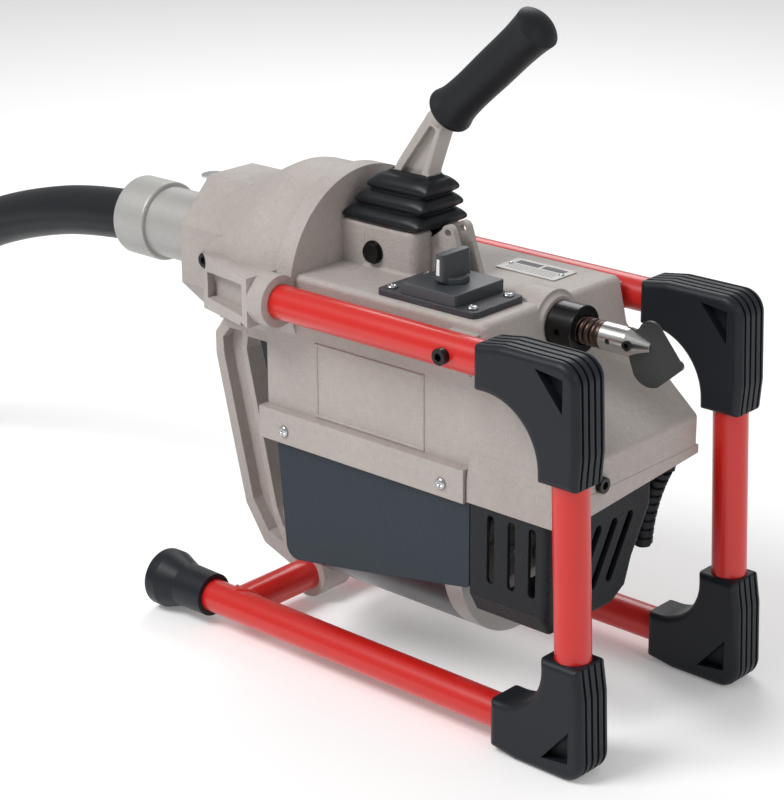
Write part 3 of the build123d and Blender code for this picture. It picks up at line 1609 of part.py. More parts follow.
with BuildPart() as deck_screws:
    for x, y in plate_screw_places:
        with BuildSketch(Plane.XY.offset(plate_top)):
            with Locations((x, y)):
                Circle(4.2)
        extrude(amount=2.6, taper=20)
        with BuildSketch(Plane.XY.offset(plate_top)):
            with Locations((x, y)):
                Circle(plate_screw_radius)
        extrude(amount=-12)
    for x in rivet_places:
        with BuildSketch(Plane.XY.offset(deck_height + nameplate_thickness)):
            with Locations((x, nameplate_y)):
                Circle(2.2)
        extrude(amount=1.2, taper=25)
        with BuildSketch(Plane.XY.offset(deck_height + nameplate_thickness)):
            with Locations((x, nameplate_y)):
                Circle(rivet_radius)
        extrude(amount=-3.5)
deck_screws.part.label = "deck_screws"
export_step(deck_screws.part, "parts/deck_screws.step")

with BuildPart() as motor_bolts:
    for x, y in motor_bolt_places:
        with BuildSketch(Plane.XY.offset(206)):
            with Locations((x, y)):
                RegularPolygon(radius=6.0, side_count=6)
        extrude(amount=4.5)
        with BuildSketch(Plane.XY.offset(206)):
            with Locations((x, y)):
                Circle(motor_bolt_radius)
        extrude(amount=-20)
motor_bolts.part.label = "motor_bolts"
export_step(motor_bolts.part, "parts/motor_bolts.step")

# ---------------------------------------------------------------- guide hose
hose_route = [
    (hose_seat, 0, spindle_height), (-335, 0, spindle_height), (-480, 0, 271), (-573, -5, 226),
    (-682, -42, 163), (-771, -113, 101), (-824, -212, 50), (-833, -325, 23.5), (-794, -433, 23.5),
    (-709, -510, 23.5), (-598, -541, 23.5), (-484, -519, 23.5), (-396, -447, 23.5),
    (-350, -342, 23.5), (-359, -228, 23.5), (-418, -130, 23.5), (-513, -70, 23.5), (-630, -62, 23.5),
]
route_points = [Vector(*point) for point in hose_route]
hose_radii = []
for before, at, after in zip(route_points, route_points[1:], route_points[2:]):
    turn = (at - before).get_angle(after - at)
    shorter = min((at - before).length, (after - at).length)
    hose_radii.append(0.45 * shorter / math.tan(math.radians(turn / 2)))
print("hose bend radii", [round(radius) for radius in hose_radii])

with BuildPart() as guide_hose:
    with BuildLine() as hose_line:
        FilletPolyline(*hose_route, radius=hose_radii)
    with BuildSketch(Plane(origin=hose_route[0], z_dir=(-1, 0, 0))):
        Circle(hose_radius)
    sweep(path=hose_line.wire())
hose_length = hose_line.wire().length
share = guide_hose.part.volume / (math.pi * hose_radius**2 * hose_length)
print("hose length", round(hose_length, 1), "volume over section times length", round(share, 4))
guide_hose.part.label = "guide_hose"
export_step(guide_hose.part, "parts/guide_hose.step")
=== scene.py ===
"""The finished look of a portable drain cleaning machine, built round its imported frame."""

from __future__ import annotations

import json
import logging
import math
from dataclasses import dataclass, field
from enum import Enum

import bmesh
import bpy
from mathutils import Matrix, Vector

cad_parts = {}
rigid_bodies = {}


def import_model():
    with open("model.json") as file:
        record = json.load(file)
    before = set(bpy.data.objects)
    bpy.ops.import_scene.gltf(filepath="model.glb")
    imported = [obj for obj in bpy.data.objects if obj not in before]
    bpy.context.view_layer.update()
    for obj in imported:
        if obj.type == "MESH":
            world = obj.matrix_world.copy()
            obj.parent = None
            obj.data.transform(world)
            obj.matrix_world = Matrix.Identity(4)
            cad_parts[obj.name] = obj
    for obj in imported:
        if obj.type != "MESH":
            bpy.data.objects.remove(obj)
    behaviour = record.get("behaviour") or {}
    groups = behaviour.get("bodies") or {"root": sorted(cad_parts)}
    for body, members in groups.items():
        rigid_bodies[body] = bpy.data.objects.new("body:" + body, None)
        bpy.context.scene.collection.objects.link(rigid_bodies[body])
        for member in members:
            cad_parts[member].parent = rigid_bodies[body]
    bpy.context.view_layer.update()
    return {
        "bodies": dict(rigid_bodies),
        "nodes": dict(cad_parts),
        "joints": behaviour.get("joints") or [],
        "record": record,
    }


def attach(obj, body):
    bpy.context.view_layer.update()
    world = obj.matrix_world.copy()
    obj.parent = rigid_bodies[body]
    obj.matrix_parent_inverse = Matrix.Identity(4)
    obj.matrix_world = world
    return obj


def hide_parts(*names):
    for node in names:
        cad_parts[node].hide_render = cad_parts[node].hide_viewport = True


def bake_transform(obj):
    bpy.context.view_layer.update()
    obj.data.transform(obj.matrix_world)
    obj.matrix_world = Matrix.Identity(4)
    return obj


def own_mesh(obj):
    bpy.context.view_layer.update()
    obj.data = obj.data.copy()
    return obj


LOG = logging.getLogger("drain_machine")
Colour = tuple[float, float, float]
Point = tuple[float, float, float]
Outline = tuple[tuple[float, float], ...]
WHITE = (1.0, 1.0, 1.0, 1.0)
HANDS = {"right": -1, "left": 1}


def paint(red: int, green: int, blue: int) -> Colour:
    """Turn a colour of 0 to 255 a channel into a linear one.

    Args:
        red: Red, 0 to 255.
        green: Green, 0 to 255.
        blue: Blue, 0 to 255.

    Returns:
        The same colour in linear light.
    """
    toe, slope, lift, power = 0.04045, 12.92, 0.055, 2.4
    return tuple(
        v / slope if v <= toe else ((v + lift) / (1 + lift)) ** power
        for v in (red / 255, green / 255, blue / 255)
    )


# ------------------------------------------------------------------ node graphs
@dataclass
class Field:
    """A number that varies, held as a node's output socket."""

    graph: "Graph"
    socket: bpy.types.NodeSocket

    def _math(self, operation: str, first: object, second: object) -> "Field":
        """Add a Math node on two values and return its result."""
        return self.graph.math(operation, first, second)

    def __add__(self, other: object) -> "Field":
        """This value plus another."""
        return self._math("ADD", self, other)

    __radd__ = __add__

    def __sub__(self, other: object) -> "Field":
        """This value minus another."""
        return self._math("SUBTRACT", self, other)

    def __rsub__(self, other: object) -> "Field":
        """Another value minus this one."""
        return self._math("SUBTRACT", other, self)

    def __mul__(self, other: object) -> "Field":
        """This value times another."""
        return self._math("MULTIPLY", self, other)

    __rmul__ = __mul__

    def __lt__(self, other: object) -> "Field":
        """1 where this value is the smaller, otherwise 0."""
        return self._math("LESS_THAN", self, other)

    def __gt__(self, other: object) -> "Field":
        """1 where this value is the larger, otherwise 0."""
        return self._math("GREATER_THAN", self, other)

    def size(self) -> "Field":
        """This value without its sign."""
        return self._math("ABSOLUTE", self, 0.0)


@dataclass
class Graph:
    """A node tree that nodes are added to through one method."""

    tree: bpy.types.NodeTree

    def node(
        self, kind: str, settings: dict | None = None, values: dict | None = None
    ) -> bpy.types.Node:
        """Add one node.

        Args:
            kind: The node's type.
            settings: Properties that are set first. "stops" sets a colour ramp's stops.
            values: Each input's value or link, by the input's name or number.

        Returns:
            The new node.
        """
        made = self.tree.nodes.new(kind)
        for key, value in (settings or {}).items():
            if key == "stops":
                self._stops(made.color_ramp, value)
            else:
                setattr(made, key, value)
        for key, value in (values or {}).items():
            self.feed(made.inputs[key], value)
        return made

    def _stops(self, ramp: bpy.types.ColorRamp, stops: Outline) -> None:
        """Set a colour ramp's stops.

        Args:
            ramp: The ramp.
            stops: Pairs of place and grey level, from left to right.
        """
        while len(ramp.elements) < len(stops):
            ramp.elements.new(0.5)
        for element, (place, level) in zip(ramp.elements, stops):
            element.position = place
            element.color = (level, level, level, 1.0)

    def feed(self, socket: bpy.types.NodeSocket, value: object) -> None:
        """Link a socket to a value that varies, or set it to one that doesn't.

        Args:
            socket: The node's input.
            value: A field, an output socket, or a plain value.
        """
        if isinstance(value, Field):
            self.tree.links.new(value.socket, socket)
        elif isinstance(value, bpy.types.NodeSocket):
            self.tree.links.new(value, socket)
        else:
            socket.default_value = value

    def math(self, operation: str, first: object, second: object = 0.0) -> Field:
        """Work out a Math node on two values.

        Args:
            operation: The node's operation.
            first: Its first value, a number or a field.
            second: Its second value, a number or a field.

        Returns:
            The result.
        """
        made = self.node("ShaderNodeMath", {"operation": operation}, {0: first, 1: second})
        return Field(self, made.outputs[0])


class Grain(Enum):
    """The fine relief of a finish."""

    SPRAYED = "sprayed"
    LEATHER = "leather"
    CAST = "cast"
    MOULDED = "moulded"
    SPECKLED = "speckled"
    TURNED = "turned"
    SATIN = "satin"
    LAMINATED = "laminated"


# How much coarser a grain's broad waves are, and how strong beside its fine ones.
BROAD_WAVES = {Grain.CAST: (0.22, 1.2), Grain.SPRAYED: (0.3, 0.6)}


@dataclass(frozen=True)
class Finish:
    """A surface finish: its colours, its gloss and its grain."""

    name: str
    base: Colour
    shade: Colour
    roughness: float
    grain: Grain
    grain_size: float
    grain_depth: float
    metallic: float = 0.0
    coat: float = 0.0
    rounding: float = 0.0
    spread: float = 0.06
    specular: float = 0.5
    mottle: float = 0.3
    cell_share: float = 0.9
    crease_share: float = 0.45
    crease_fineness: float = 2.6
    blotch_scale: float = 9.0
    blotch_share: float = 0.22
    blotch_stops: tuple[tuple[float, float], ...] = ((0.35, 0.0), (0.68, 1.0))
    smudge_scale: float = 26.0
    grain_gloss: float = 0.06
    coat_roughness: float = 0.12

    def _relief(self, graph: Graph, place: bpy.types.NodeSocket) -> Field:
        """The height of the grain over the surface.

        Args:
            graph: The material's graph.
            place: The point on the surface.

        Returns:
            A height of about 0 to 1.
        """
        scale = 1.0 / self.grain_size
        if self.grain in (Grain.LEATHER, Grain.SPECKLED):
            cells = graph.node(
                "ShaderNodeTexVoronoi",
                {"feature": "SMOOTH_F1" if self.grain is Grain.LEATHER else "F1"},
                {"Vector": place, "Scale": scale, "Randomness": 1.0},
            )
            fine = self._noise(graph, place, self.crease_fineness * scale, 3.0)
            cell = Field(graph, cells.outputs["Distance"])
            return cell * self.cell_share + fine * self.crease_share
        if self.grain in (Grain.TURNED, Grain.LAMINATED):
            along = graph.node("ShaderNodeSeparateXYZ", {}, {0: place})
            stretched = graph.node(
                "ShaderNodeCombineXYZ", {}, {0: Field(graph, along.outputs[0]) * scale}
            )
            return self._noise(graph, stretched.outputs[0], 1.0, 2.0)
        fine = self._noise(graph, place, scale, 4.0)
        if self.grain not in BROAD_WAVES:
            return fine
        coarseness, strength = BROAD_WAVES[self.grain]
        return fine + self._noise(graph, place, scale * coarseness, 2.0) * strength

    def _noise(
        self, graph: Graph, place: bpy.types.NodeSocket, scale: float, detail: float
    ) -> Field:
        """A noise over the surface.

        Args:
            graph: The material's graph.
            place: The point on the surface.
            scale: How fine the noise is.
            detail: How many finer layers it has.

        Returns:
            A value of 0 to 1.
        """
        made = graph.node(
            "ShaderNodeTexNoise", {}, {"Vector": place, "Scale": scale, "Detail": detail}
        )
        return Field(graph, made.outputs[0])

    def _marks(self, graph: Graph, place: bpy.types.NodeSocket, base: object) -> object:
        """The finish's own printed marks over a base colour, which most finishes lack."""
        return base

    def build(self) -> bpy.types.Material:
        """Make the material.

        Returns:
            The material with its nodes.
        """
        material = bpy.data.materials.new(self.name)
        material.use_nodes = True
        material.node_tree.nodes.clear()
        graph = Graph(material.node_tree)
        place = graph.node("ShaderNodeTexCoord").outputs["Object"]
        relief = self._relief(graph, place)
        broad = self._noise(graph, place, self.blotch_scale, 4.0)
        blotch = graph.node("ShaderNodeValToRGB", {"stops": self.blotch_stops}, {0: broad})
        mottle = Field(graph, blotch.outputs[0]) * self.blotch_share + relief * self.mottle
        mixed = graph.node(
            "ShaderNodeMix",
            {"data_type": "RGBA", "clamp_factor": True},
            {0: mottle, 6: (*self.base, 1.0), 7: (*self.shade, 1.0)},
        )
        colour = self._marks(graph, place, mixed.outputs[2])
        smudge = self._noise(graph, place, self.smudge_scale, 5.0)
        rough = smudge * (2 * self.spread) + (self.roughness - self.spread)
        rough = rough + (relief - 0.5) * self.grain_gloss
        bump_values = {"Strength": 1.0, "Distance": self.grain_depth, "Height": relief}
        if self.rounding > 0:
            soft = graph.node("ShaderNodeBevel", {"samples": 4}, {"Radius": self.rounding})
            bump_values["Normal"] = soft.outputs[0]
        bump = graph.node("ShaderNodeBump", {}, bump_values)
        shader = graph.node(
            "ShaderNodeBsdfPrincipled",
            {},
            {
                "Base Color": colour,
                "Roughness": rough,
                "Metallic": self.metallic,
                "Specular IOR Level": self.specular,
                "Coat Weight": self.coat,
                "Coat Roughness": self.coat_roughness,
                "Normal": bump.outputs[0],
            },
        )
        graph.node("ShaderNodeOutputMaterial", {}, {"Surface": shader.outputs[0]})
        return material


@dataclass(frozen=True)
class PrintedFinish(Finish):
    """A metal plate printed with dark blocks and rows of short dashes."""

    centre: tuple[float, float] = (0.112, 0.050)
    ink: Colour = (0.03, 0.03, 0.035)
    half_size: tuple[float, float] = (0.024, 0.0125)
    row_pitch: float = 0.0013
    row_width: float = 0.00055
    dash_pitch: float = 0.0021
    dash_width: float = 0.0015
    dash_slant: float = 3.1
    text_top: float = 0.001
    block_low: float = 0.003
    block_high: float = 0.011
    gap_centre: float = 0.001
    gap_half: float = 0.0014

    def _marks(self, graph: Graph, place: bpy.types.NodeSocket, base: object) -> object:
        """Print blocks and rows of dashes in ink over the plate's own colour.

        Args:
            graph: The material's graph.
            place: The point on the surface.
            base: The colour under the print.

        Returns:
            The printed colour.
        """
        split = graph.node("ShaderNodeSeparateXYZ", {}, {0: place})
        u = Field(graph, split.outputs[0]) - self.centre[0]
        v = Field(graph, split.outputs[1]) - self.centre[1]
        half_u, half_v = self.half_size
        inside = (u.size() < half_u) * (v.size() < half_v)
        rows = graph.math("PINGPONG", v, self.row_pitch) < self.row_width
        slanted = u + v * self.dash_slant
        dashes = graph.math("PINGPONG", slanted, self.dash_pitch) < self.dash_width
        text = rows * dashes * (v < self.text_top)
        apart = (u - self.gap_centre).size() > self.gap_half
        blocks = (v > self.block_low) * (v < self.block_high) * apart
        mask = inside * graph.math("MAXIMUM", text, blocks)
        made = graph.node(
            "ShaderNodeMix", {"data_type": "RGBA"}, {0: mask, 6: base, 7: (*self.ink, 1.0)}
        )
        return made.outputs[2]


class Look(Enum):
    """Every finish on the machine."""

    FRAME_RED = Finish(
        "frame_red", paint(208, 30, 22), paint(198, 26, 20), 0.33, Grain.SATIN,
        0.0016, 0.00002, coat=0.25, rounding=0.0003,
    )
    BUMPER = Finish(
        "bumper_rubber", paint(27, 31, 37), paint(33, 37, 43), 0.42, Grain.MOULDED,
        0.0011, 0.00003, rounding=0.0006, specular=0.25,
    )
    CASTING = Finish(
        "casting_paint", paint(192, 184, 179), paint(148, 140, 135), 0.52, Grain.SPRAYED,
        0.0021, 0.00050, rounding=0.0013, mottle=0.45,
    )
    ADAPTER = Finish(
        "raw_casting", paint(188, 187, 184), paint(163, 162, 160), 0.42, Grain.CAST,
        0.0014, 0.00014, metallic=0.45, rounding=0.0008,
    )
    SIDE_COVER = Finish(
        "side_cover_plastic", paint(44, 54, 62), paint(40, 49, 57), 0.44, Grain.LEATHER,
        0.0019, 0.00030, rounding=0.0012, specular=0.25,
    )
    FRONT_COVER = Finish(
        "front_cover_plastic", paint(28, 32, 36), paint(24, 28, 32), 0.46, Grain.LEATHER,
        0.0015, 0.00042, rounding=0.0012, specular=0.25,
    )
    ENAMEL = Finish(
        "motor_enamel", paint(36, 40, 44), paint(30, 34, 38), 0.32, Grain.MOULDED,
        0.0020, 0.00003, coat=0.3, rounding=0.0008,
    )
    CORE = Finish(
        "core_steel", paint(120, 118, 116), paint(92, 88, 84), 0.42, Grain.LAMINATED,
        0.0006, 0.00008, metallic=0.9,
    )
    BRIGHT = Finish(
        "bright_steel", paint(205, 205, 203), paint(178, 177, 174), 0.24, Grain.TURNED,
        0.0005, 0.00002, metallic=1.0, rounding=0.0004,
    )
    PLATED = Finish(
        "plated_steel", paint(205, 207, 210), paint(170, 172, 176), 0.22, Grain.SATIN,
        0.0008, 0.00002, metallic=1.0, rounding=0.0003,
    )
    DARK = Finish(
        "dark_steel", paint(58, 56, 54), paint(40, 38, 37), 0.34, Grain.TURNED,
        0.0006, 0.00003, metallic=0.85, rounding=0.0004,
    )
    BLADE = Finish(
        "blade_steel", paint(84, 86, 86), paint(66, 66, 65), 0.38, Grain.SATIN,
        0.0012, 0.00003, metallic=0.75, rounding=0.0003,
    )
    COLLAR = Finish(
        "black_oxide", paint(30, 29, 29), paint(22, 21, 21), 0.26, Grain.TURNED,
        0.0007, 0.00002, metallic=0.5, coat=0.2, rounding=0.0005, specular=0.25,
    )
    COIL = Finish(
        "coil_steel", paint(92, 74, 66), paint(62, 50, 45), 0.34, Grain.SATIN,
        0.0010, 0.00003, metallic=0.9,
    )
    LEVER = Finish(
        "lever_paint", paint(176, 170, 164), paint(168, 161, 155), 0.45, Grain.SPRAYED,
        0.0015, 0.00012, rounding=0.0012,
    )
    GRIP = Finish(
        "grip_rubber", paint(26, 29, 33), paint(22, 25, 29), 0.50, Grain.MOULDED,
        0.0010, 0.00004, specular=0.25,
    )
    BOOT = Finish(
        "boot_rubber", paint(24, 27, 31), paint(20, 23, 27), 0.36, Grain.MOULDED,
        0.0014, 0.00003, specular=0.25,
    )
    BELT = Finish(
        "belt_rubber", paint(30, 30, 31), paint(24, 24, 25), 0.62, Grain.MOULDED,
        0.0009, 0.00006, specular=0.25,
    )
    HOSE = Finish(
        "hose_rubber", paint(27, 30, 34), paint(23, 26, 30), 0.40, Grain.MOULDED,
        0.0013, 0.00005, specular=0.25,
    )
    SWITCH_PLATE = Finish(
        "switch_plate_plastic", paint(20, 20, 23), paint(96, 97, 103), 0.36, Grain.SPECKLED,
        0.0012, 0.00035, rounding=0.0008, mottle=0.5, specular=0.25,
    )
    SWITCH = Finish(
        "switch_plastic", paint(62, 66, 70), paint(57, 61, 65), 0.38, Grain.MOULDED,
        0.0008, 0.00003, rounding=0.0008,
    )
    MARK = Finish(
        "index_white", paint(236, 236, 232), paint(228, 228, 224), 0.45, Grain.MOULDED,
        0.0010, 0.00002,
    )
    PLATE = PrintedFinish(
        "printed_plate", paint(176, 174, 172), paint(160, 158, 156), 0.36, Grain.SATIN,
        0.0007, 0.00002, metallic=0.6,
    )
    CARBON = Finish(
        "carbon", paint(46, 46, 48), paint(38, 38, 40), 0.55, Grain.MOULDED,
        0.0008, 0.00004,
    )


class Paintbox:
    """Makes each finish's material once and puts it on pieces."""

    def __init__(self) -> None:
        """Start with no material made."""
        self._made: dict[Look, bpy.types.Material] = {}

    def material(self, look: Look) -> bpy.types.Material:
        """Find the material of a finish, which is made on its first use.

        Args:
            look: The finish.

        Returns:
            Its material.
        """
        if look not in self._made:
            self._made[look] = look.value.build()
        return self._made[look]

    def dress(self, obj: bpy.types.Object, look: Look) -> None:
        """Give an object one finish all over."""
        obj.data.materials.clear()
        obj.data.materials.append(self.material(look))


# ------------------------------------------------------------------ grown meshes
@dataclass
class GrownTree:
    """A Geometry Nodes tree whose sizes are named inputs."""

    name: str
    sizes: dict[str, str]
    graph: Graph = field(init=False)
    inlet: bpy.types.Node = field(init=False)

    def __post_init__(self) -> None:
        """Make the tree with its named inputs and its one output."""
        tree = bpy.data.node_groups.new(self.name, "GeometryNodeTree")
        tree.interface.new_socket("Geometry", in_out="INPUT", socket_type="NodeSocketGeometry")
        for size, kind in {**self.sizes, "Finish": "NodeSocketMaterial"}.items():
            tree.interface.new_socket(size, in_out="INPUT", socket_type=kind)
        tree.interface.new_socket("Geometry", in_out="OUTPUT", socket_type="NodeSocketGeometry")
        self.graph = Graph(tree)
        self.inlet = self.graph.node("NodeGroupInput")

    def size(self, name: str) -> bpy.types.NodeSocket:
        """The socket of a named input."""
        return self.inlet.outputs[name]

    def close(self, shape: bpy.types.NodeSocket) -> None:
        """End the tree: real geometry, smooth, in the chosen finish.

        Args:
            shape: The geometry that the tree has made.
        """
        real = self.graph.node("GeometryNodeRealizeInstances", {}, {0: shape})
        smooth = self.graph.node("GeometryNodeSetShadeSmooth", {}, {0: real.outputs[0]})
        coated = self.graph.node(
            "GeometryNodeSetMaterial",
            {},
            {0: smooth.outputs[0], "Material": self.size("Finish")},
        )
        self.graph.node("NodeGroupOutput", {}, {0: coated.outputs[0]})

    def grow(self, name: str, seed: bpy.types.Mesh, values: dict) -> bpy.types.Object:
        """Run the tree once and keep its result as a plain mesh.

        Args:
            name: The new piece's name.
            seed: The mesh that the tree starts from.
            values: Each named input's value.

        Returns:
            The new piece, with no modifier left.
        """
        holder = bpy.data.objects.new(name + "_seed", seed)
        bpy.context.scene.collection.objects.link(holder)
        modifier = holder.modifiers.new("Grow", "NODES")
        modifier.node_group = self.graph.tree
        for item in self.graph.tree.interface.items_tree:
            if item.item_type == "SOCKET" and item.in_out == "INPUT" and item.name in values:
                modifier[item.identifier] = values[item.name]
        bpy.context.view_layer.update()
        deps = bpy.context.evaluated_depsgraph_get()
        mesh = bpy.data.meshes.new_from_object(holder.evaluated_get(deps))
        bpy.data.objects.remove(holder)
        mesh.name = name
        piece = bpy.data.objects.new(name, mesh)
        bpy.context.scene.collection.objects.link(piece)
        return piece


class CoilTree(GrownTree):
    """A wire wound into a coil along Z, from its base upwards."""

    def __init__(self) -> None:
        """Make the tree."""
        super().__init__(
            "wound_wire",
            {
                "Turns": "NodeSocketFloat",
                "Length": "NodeSocketFloat",
                "Coil Radius": "NodeSocketFloat",
                "Wire Radius": "NodeSocketFloat",
                "Steps": "NodeSocketInt",
                "Sides": "NodeSocketInt",
            },
        )
        spiral = self.graph.node(
            "GeometryNodeCurveSpiral",
            {},
            {
                "Resolution": self.size("Steps"),
                "Rotations": self.size("Turns"),
                "Start Radius": self.size("Coil Radius"),
                "End Radius": self.size("Coil Radius"),
                "Height": self.size("Length"),
            },
        )
        wire = self.graph.node(
            "GeometryNodeCurvePrimitiveCircle",
            {"mode": "RADIUS"},
            {"Resolution": self.size("Sides"), "Radius": self.size("Wire Radius")},
        )
        swept = self.graph.node(
            "GeometryNodeCurveToMesh",
            {},
            {"Curve": spiral.outputs[0], "Profile Curve": wire.outputs[0], "Fill Caps": True},
        )
        self.close(swept.outputs[0])


class FastenerTree(GrownTree):
    """One fastener repeated on each point of a mesh, turned to the point's aim."""

    def __init__(self) -> None:
        """Make the tree."""
        super().__init__(
            "set_fasteners", {"Fastener": "NodeSocketObject", "Size": "NodeSocketFloat"}
        )
        shape = self.graph.node(
            "GeometryNodeObjectInfo", {"transform_space": "ORIGINAL"},
            {"Object": self.size("Fastener")},
        )
        aim = self.graph.node(
            "GeometryNodeInputNamedAttribute", {"data_type": "FLOAT_VECTOR"}, {"Name": "aim"}
        )
        turn = self.graph.node(
            "FunctionNodeAlignRotationToVector", {"axis": "Z"}, {"Vector": aim.outputs[0]}
        )
        spread = self.graph.node(
            "GeometryNodeInstanceOnPoints",
            {},
            {
                "Points": self.size("Geometry"),
                "Instance": shape.outputs["Geometry"],
                "Rotation": turn.outputs[0],
                "Scale": self.size("Size"),
            },
        )
        self.close(spread.outputs[0])


class BeadTree(GrownTree):
    """Weld ripples set close together along a line."""

    def __init__(self) -> None:
        """Make the tree."""
        super().__init__(
            "weld_ripples", {"Spacing": "NodeSocketFloat", "Ripple Radius": "NodeSocketFloat"}
        )
        line = self.graph.node("GeometryNodeMeshToCurve", {}, {0: self.size("Geometry")})
        even = self.graph.node(
            "GeometryNodeResampleCurve",
            {"mode": "LENGTH"},
            {"Curve": line.outputs[0], "Length": self.size("Spacing")},
        )
        ripple = self.graph.node(
            "GeometryNodeMeshIcoSphere",
            {},
            {"Radius": self.size("Ripple Radius"), "Subdivisions": 2},
        )
        spread = self.graph.node(
            "GeometryNodeInstanceOnPoints",
            {},
            {"Points": even.outputs[0], "Instance": ripple.outputs[0]},
        )
        self.close(spread.outputs[0])


# ------------------------------------------------------------------ mesh helpers
def mesh_object(name: str, points: list, faces: list, smooth: bool = True) -> bpy.types.Object:
    """Make a mesh piece from its points and faces, with its faces turned outwards.

    Args:
        name: The piece's name.
        points: The points, in metres.
        faces: Each face's point numbers.
        smooth: Whether its faces are shaded smooth.

    Returns:
        The piece.
    """
    mesh = bpy.data.meshes.new(name)
    mesh.from_pydata(points, [], faces)
    work = bmesh.new()
    work.from_mesh(mesh)
    bmesh.ops.remove_doubles(work, verts=work.verts, dist=1e-7)
    bmesh.ops.recalc_face_normals(work, faces=work.faces)
    work.to_mesh(mesh)
    work.free()
    mesh.polygons.foreach_set("use_smooth", [smooth] * len(mesh.polygons))
    piece = bpy.data.objects.new(name, mesh)
    bpy.context.scene.collection.objects.link(piece)
    return piece


def lathe(profile: list[tuple[float, float]], sides: int) -> tuple[list, list]:
    """Points and faces of a profile of radius and height turned about Z.

    Args:
        profile: Pairs of radius and height. A radius of 0 closes an end.
        sides: How many sides the turned shape has.

    Returns:
        The points and the faces.
    """
    points = []
    for radius, height in profile:
        for step in range(sides):
            turn = 2 * math.pi * step / sides
            points.append((radius * math.cos(turn), radius * math.sin(turn), height))
    return points, tube_faces(len(profile), sides)


def tube_faces(rings: int, sides: int) -> list[tuple[int, ...]]:
    """Faces that join rings of points into a tube.

    Args:
        rings: How many rings there are, one after the other.
        sides: How many points each ring has.

    Returns:
        Each face's point numbers.
    """
    faces = []
    for ring in range(rings - 1):
        near, far = ring * sides, (ring + 1) * sides
        for step in range(sides):
            following = (step + 1) % sides
            faces.append((near + step, near + following, far + following, far + step))
    return faces


def prism_faces(corners: int, first: int = 0) -> list[tuple[int, ...]]:
    """Faces of a prism whose two ends follow each other among the points.

    Args:
        corners: How many corners each end has.
        first: The number of the first corner.

    Returns:
        Each face's point numbers.
    """
    near = list(range(first, first + corners))
    far = [number + corners for number in near]
    faces = [tuple(near), tuple(reversed(far))]
    for at in range(corners):
        following = (at + 1) % corners
        faces.append((near[at], near[following], far[following], far[at]))
    return faces


def points_mesh(name: str, places: list[Point], aims: list[Point]) -> bpy.types.Mesh:
    """Make a mesh of bare points.

    Args:
        name: The mesh's name.
        places: The points.
        aims: The way that each point faces.

    Returns:
        The mesh, with the ways in its attribute named aim.
    """
    mesh = bpy.data.meshes.new(name)
    mesh.from_pydata(places, [], [])
    layer = mesh.attributes.new("aim", "FLOAT_VECTOR", "POINT")
    layer.data.foreach_set("vector", [v for aim in aims for v in aim])
    return mesh


def move_mesh(piece: bpy.types.Object, matrix: Matrix) -> None:
    """Move a piece's mesh, so that its object stays at the origin."""
    piece.data.transform(matrix)
    piece.data.update()


def close_mesh(piece: bpy.types.Object) -> None:
    """Turn a closed piece's faces outwards again after a mirrored move.

    Args:
        piece: The piece.
    """
    work = bmesh.new()
    work.from_mesh(piece.data)
    bmesh.ops.recalc_face_normals(work, faces=work.faces)
    work.to_mesh(piece.data)
    work.free()


def along_x(start: float, height: float, side: float = 0.0) -> Matrix:
    """The move that lays a shape along Z down along X, from a start point."""
    return Matrix.Translation((start, side, height)) @ Matrix.Rotation(math.pi / 2, 4, "Y")


# ------------------------------------------------------------------ the machine
@dataclass
class Assembly:
    """A sub-assembly: what it dresses, and what it adds."""

    frame: dict
    paints: Paintbox
    trees: dict[str, GrownTree]

    def dress_nodes(self, looks: dict[str, Look]) -> None:
        """Give CAD nodes their finishes.

        Args:
            looks: Each node's finish, by the node's name.
        """
        for name, look in looks.items():
            self.paints.dress(self.frame["nodes"][name], look)
            LOG.info("dressed %s in %s", name, look.value.name)

    def keep(
        self, piece: bpy.types.Object, body: str | None, slot: str, look: Look, *stands_for: str
    ) -> None:
        """Finish one piece: its look, its body and the nodes it stands for.

        Args:
            piece: The piece.
            body: The body that it moves with, or None to leave it on no body.
            slot: Not used.
            look: Its finish.
            stands_for: The CAD nodes that it replaces.
        """
        self.paints.dress(piece, look)
        if body is not None:
            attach(piece, body)
        if stands_for:
            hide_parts(*stands_for)
        LOG.info("added %s on %s", piece.name, body)

    def coil(
        self, name: str, turns: float, length: float, radius: float, wire: float,
        steps: int = 16, sides: int = 8,
    ) -> bpy.types.Object:
        """Wind one coil along Z.

        Args:
            name: The piece's name.
            turns: How many turns it has.
            length: Its length between the wire's centres.
            radius: The radius of the wire's centre line.
            wire: The wire's own radius.
            steps: Points in each turn.
            sides: Sides of the wire.

        Returns:
            The coil.
        """
        return self.trees["coil"].grow(
            name,
            bpy.data.meshes.new(name + "_start"),
            {
                "Turns": turns, "Length": length, "Coil Radius": radius, "Wire Radius": wire,
                "Steps": steps, "Sides": sides, "Finish": self.paints.material(Look.COIL),
            },
        )


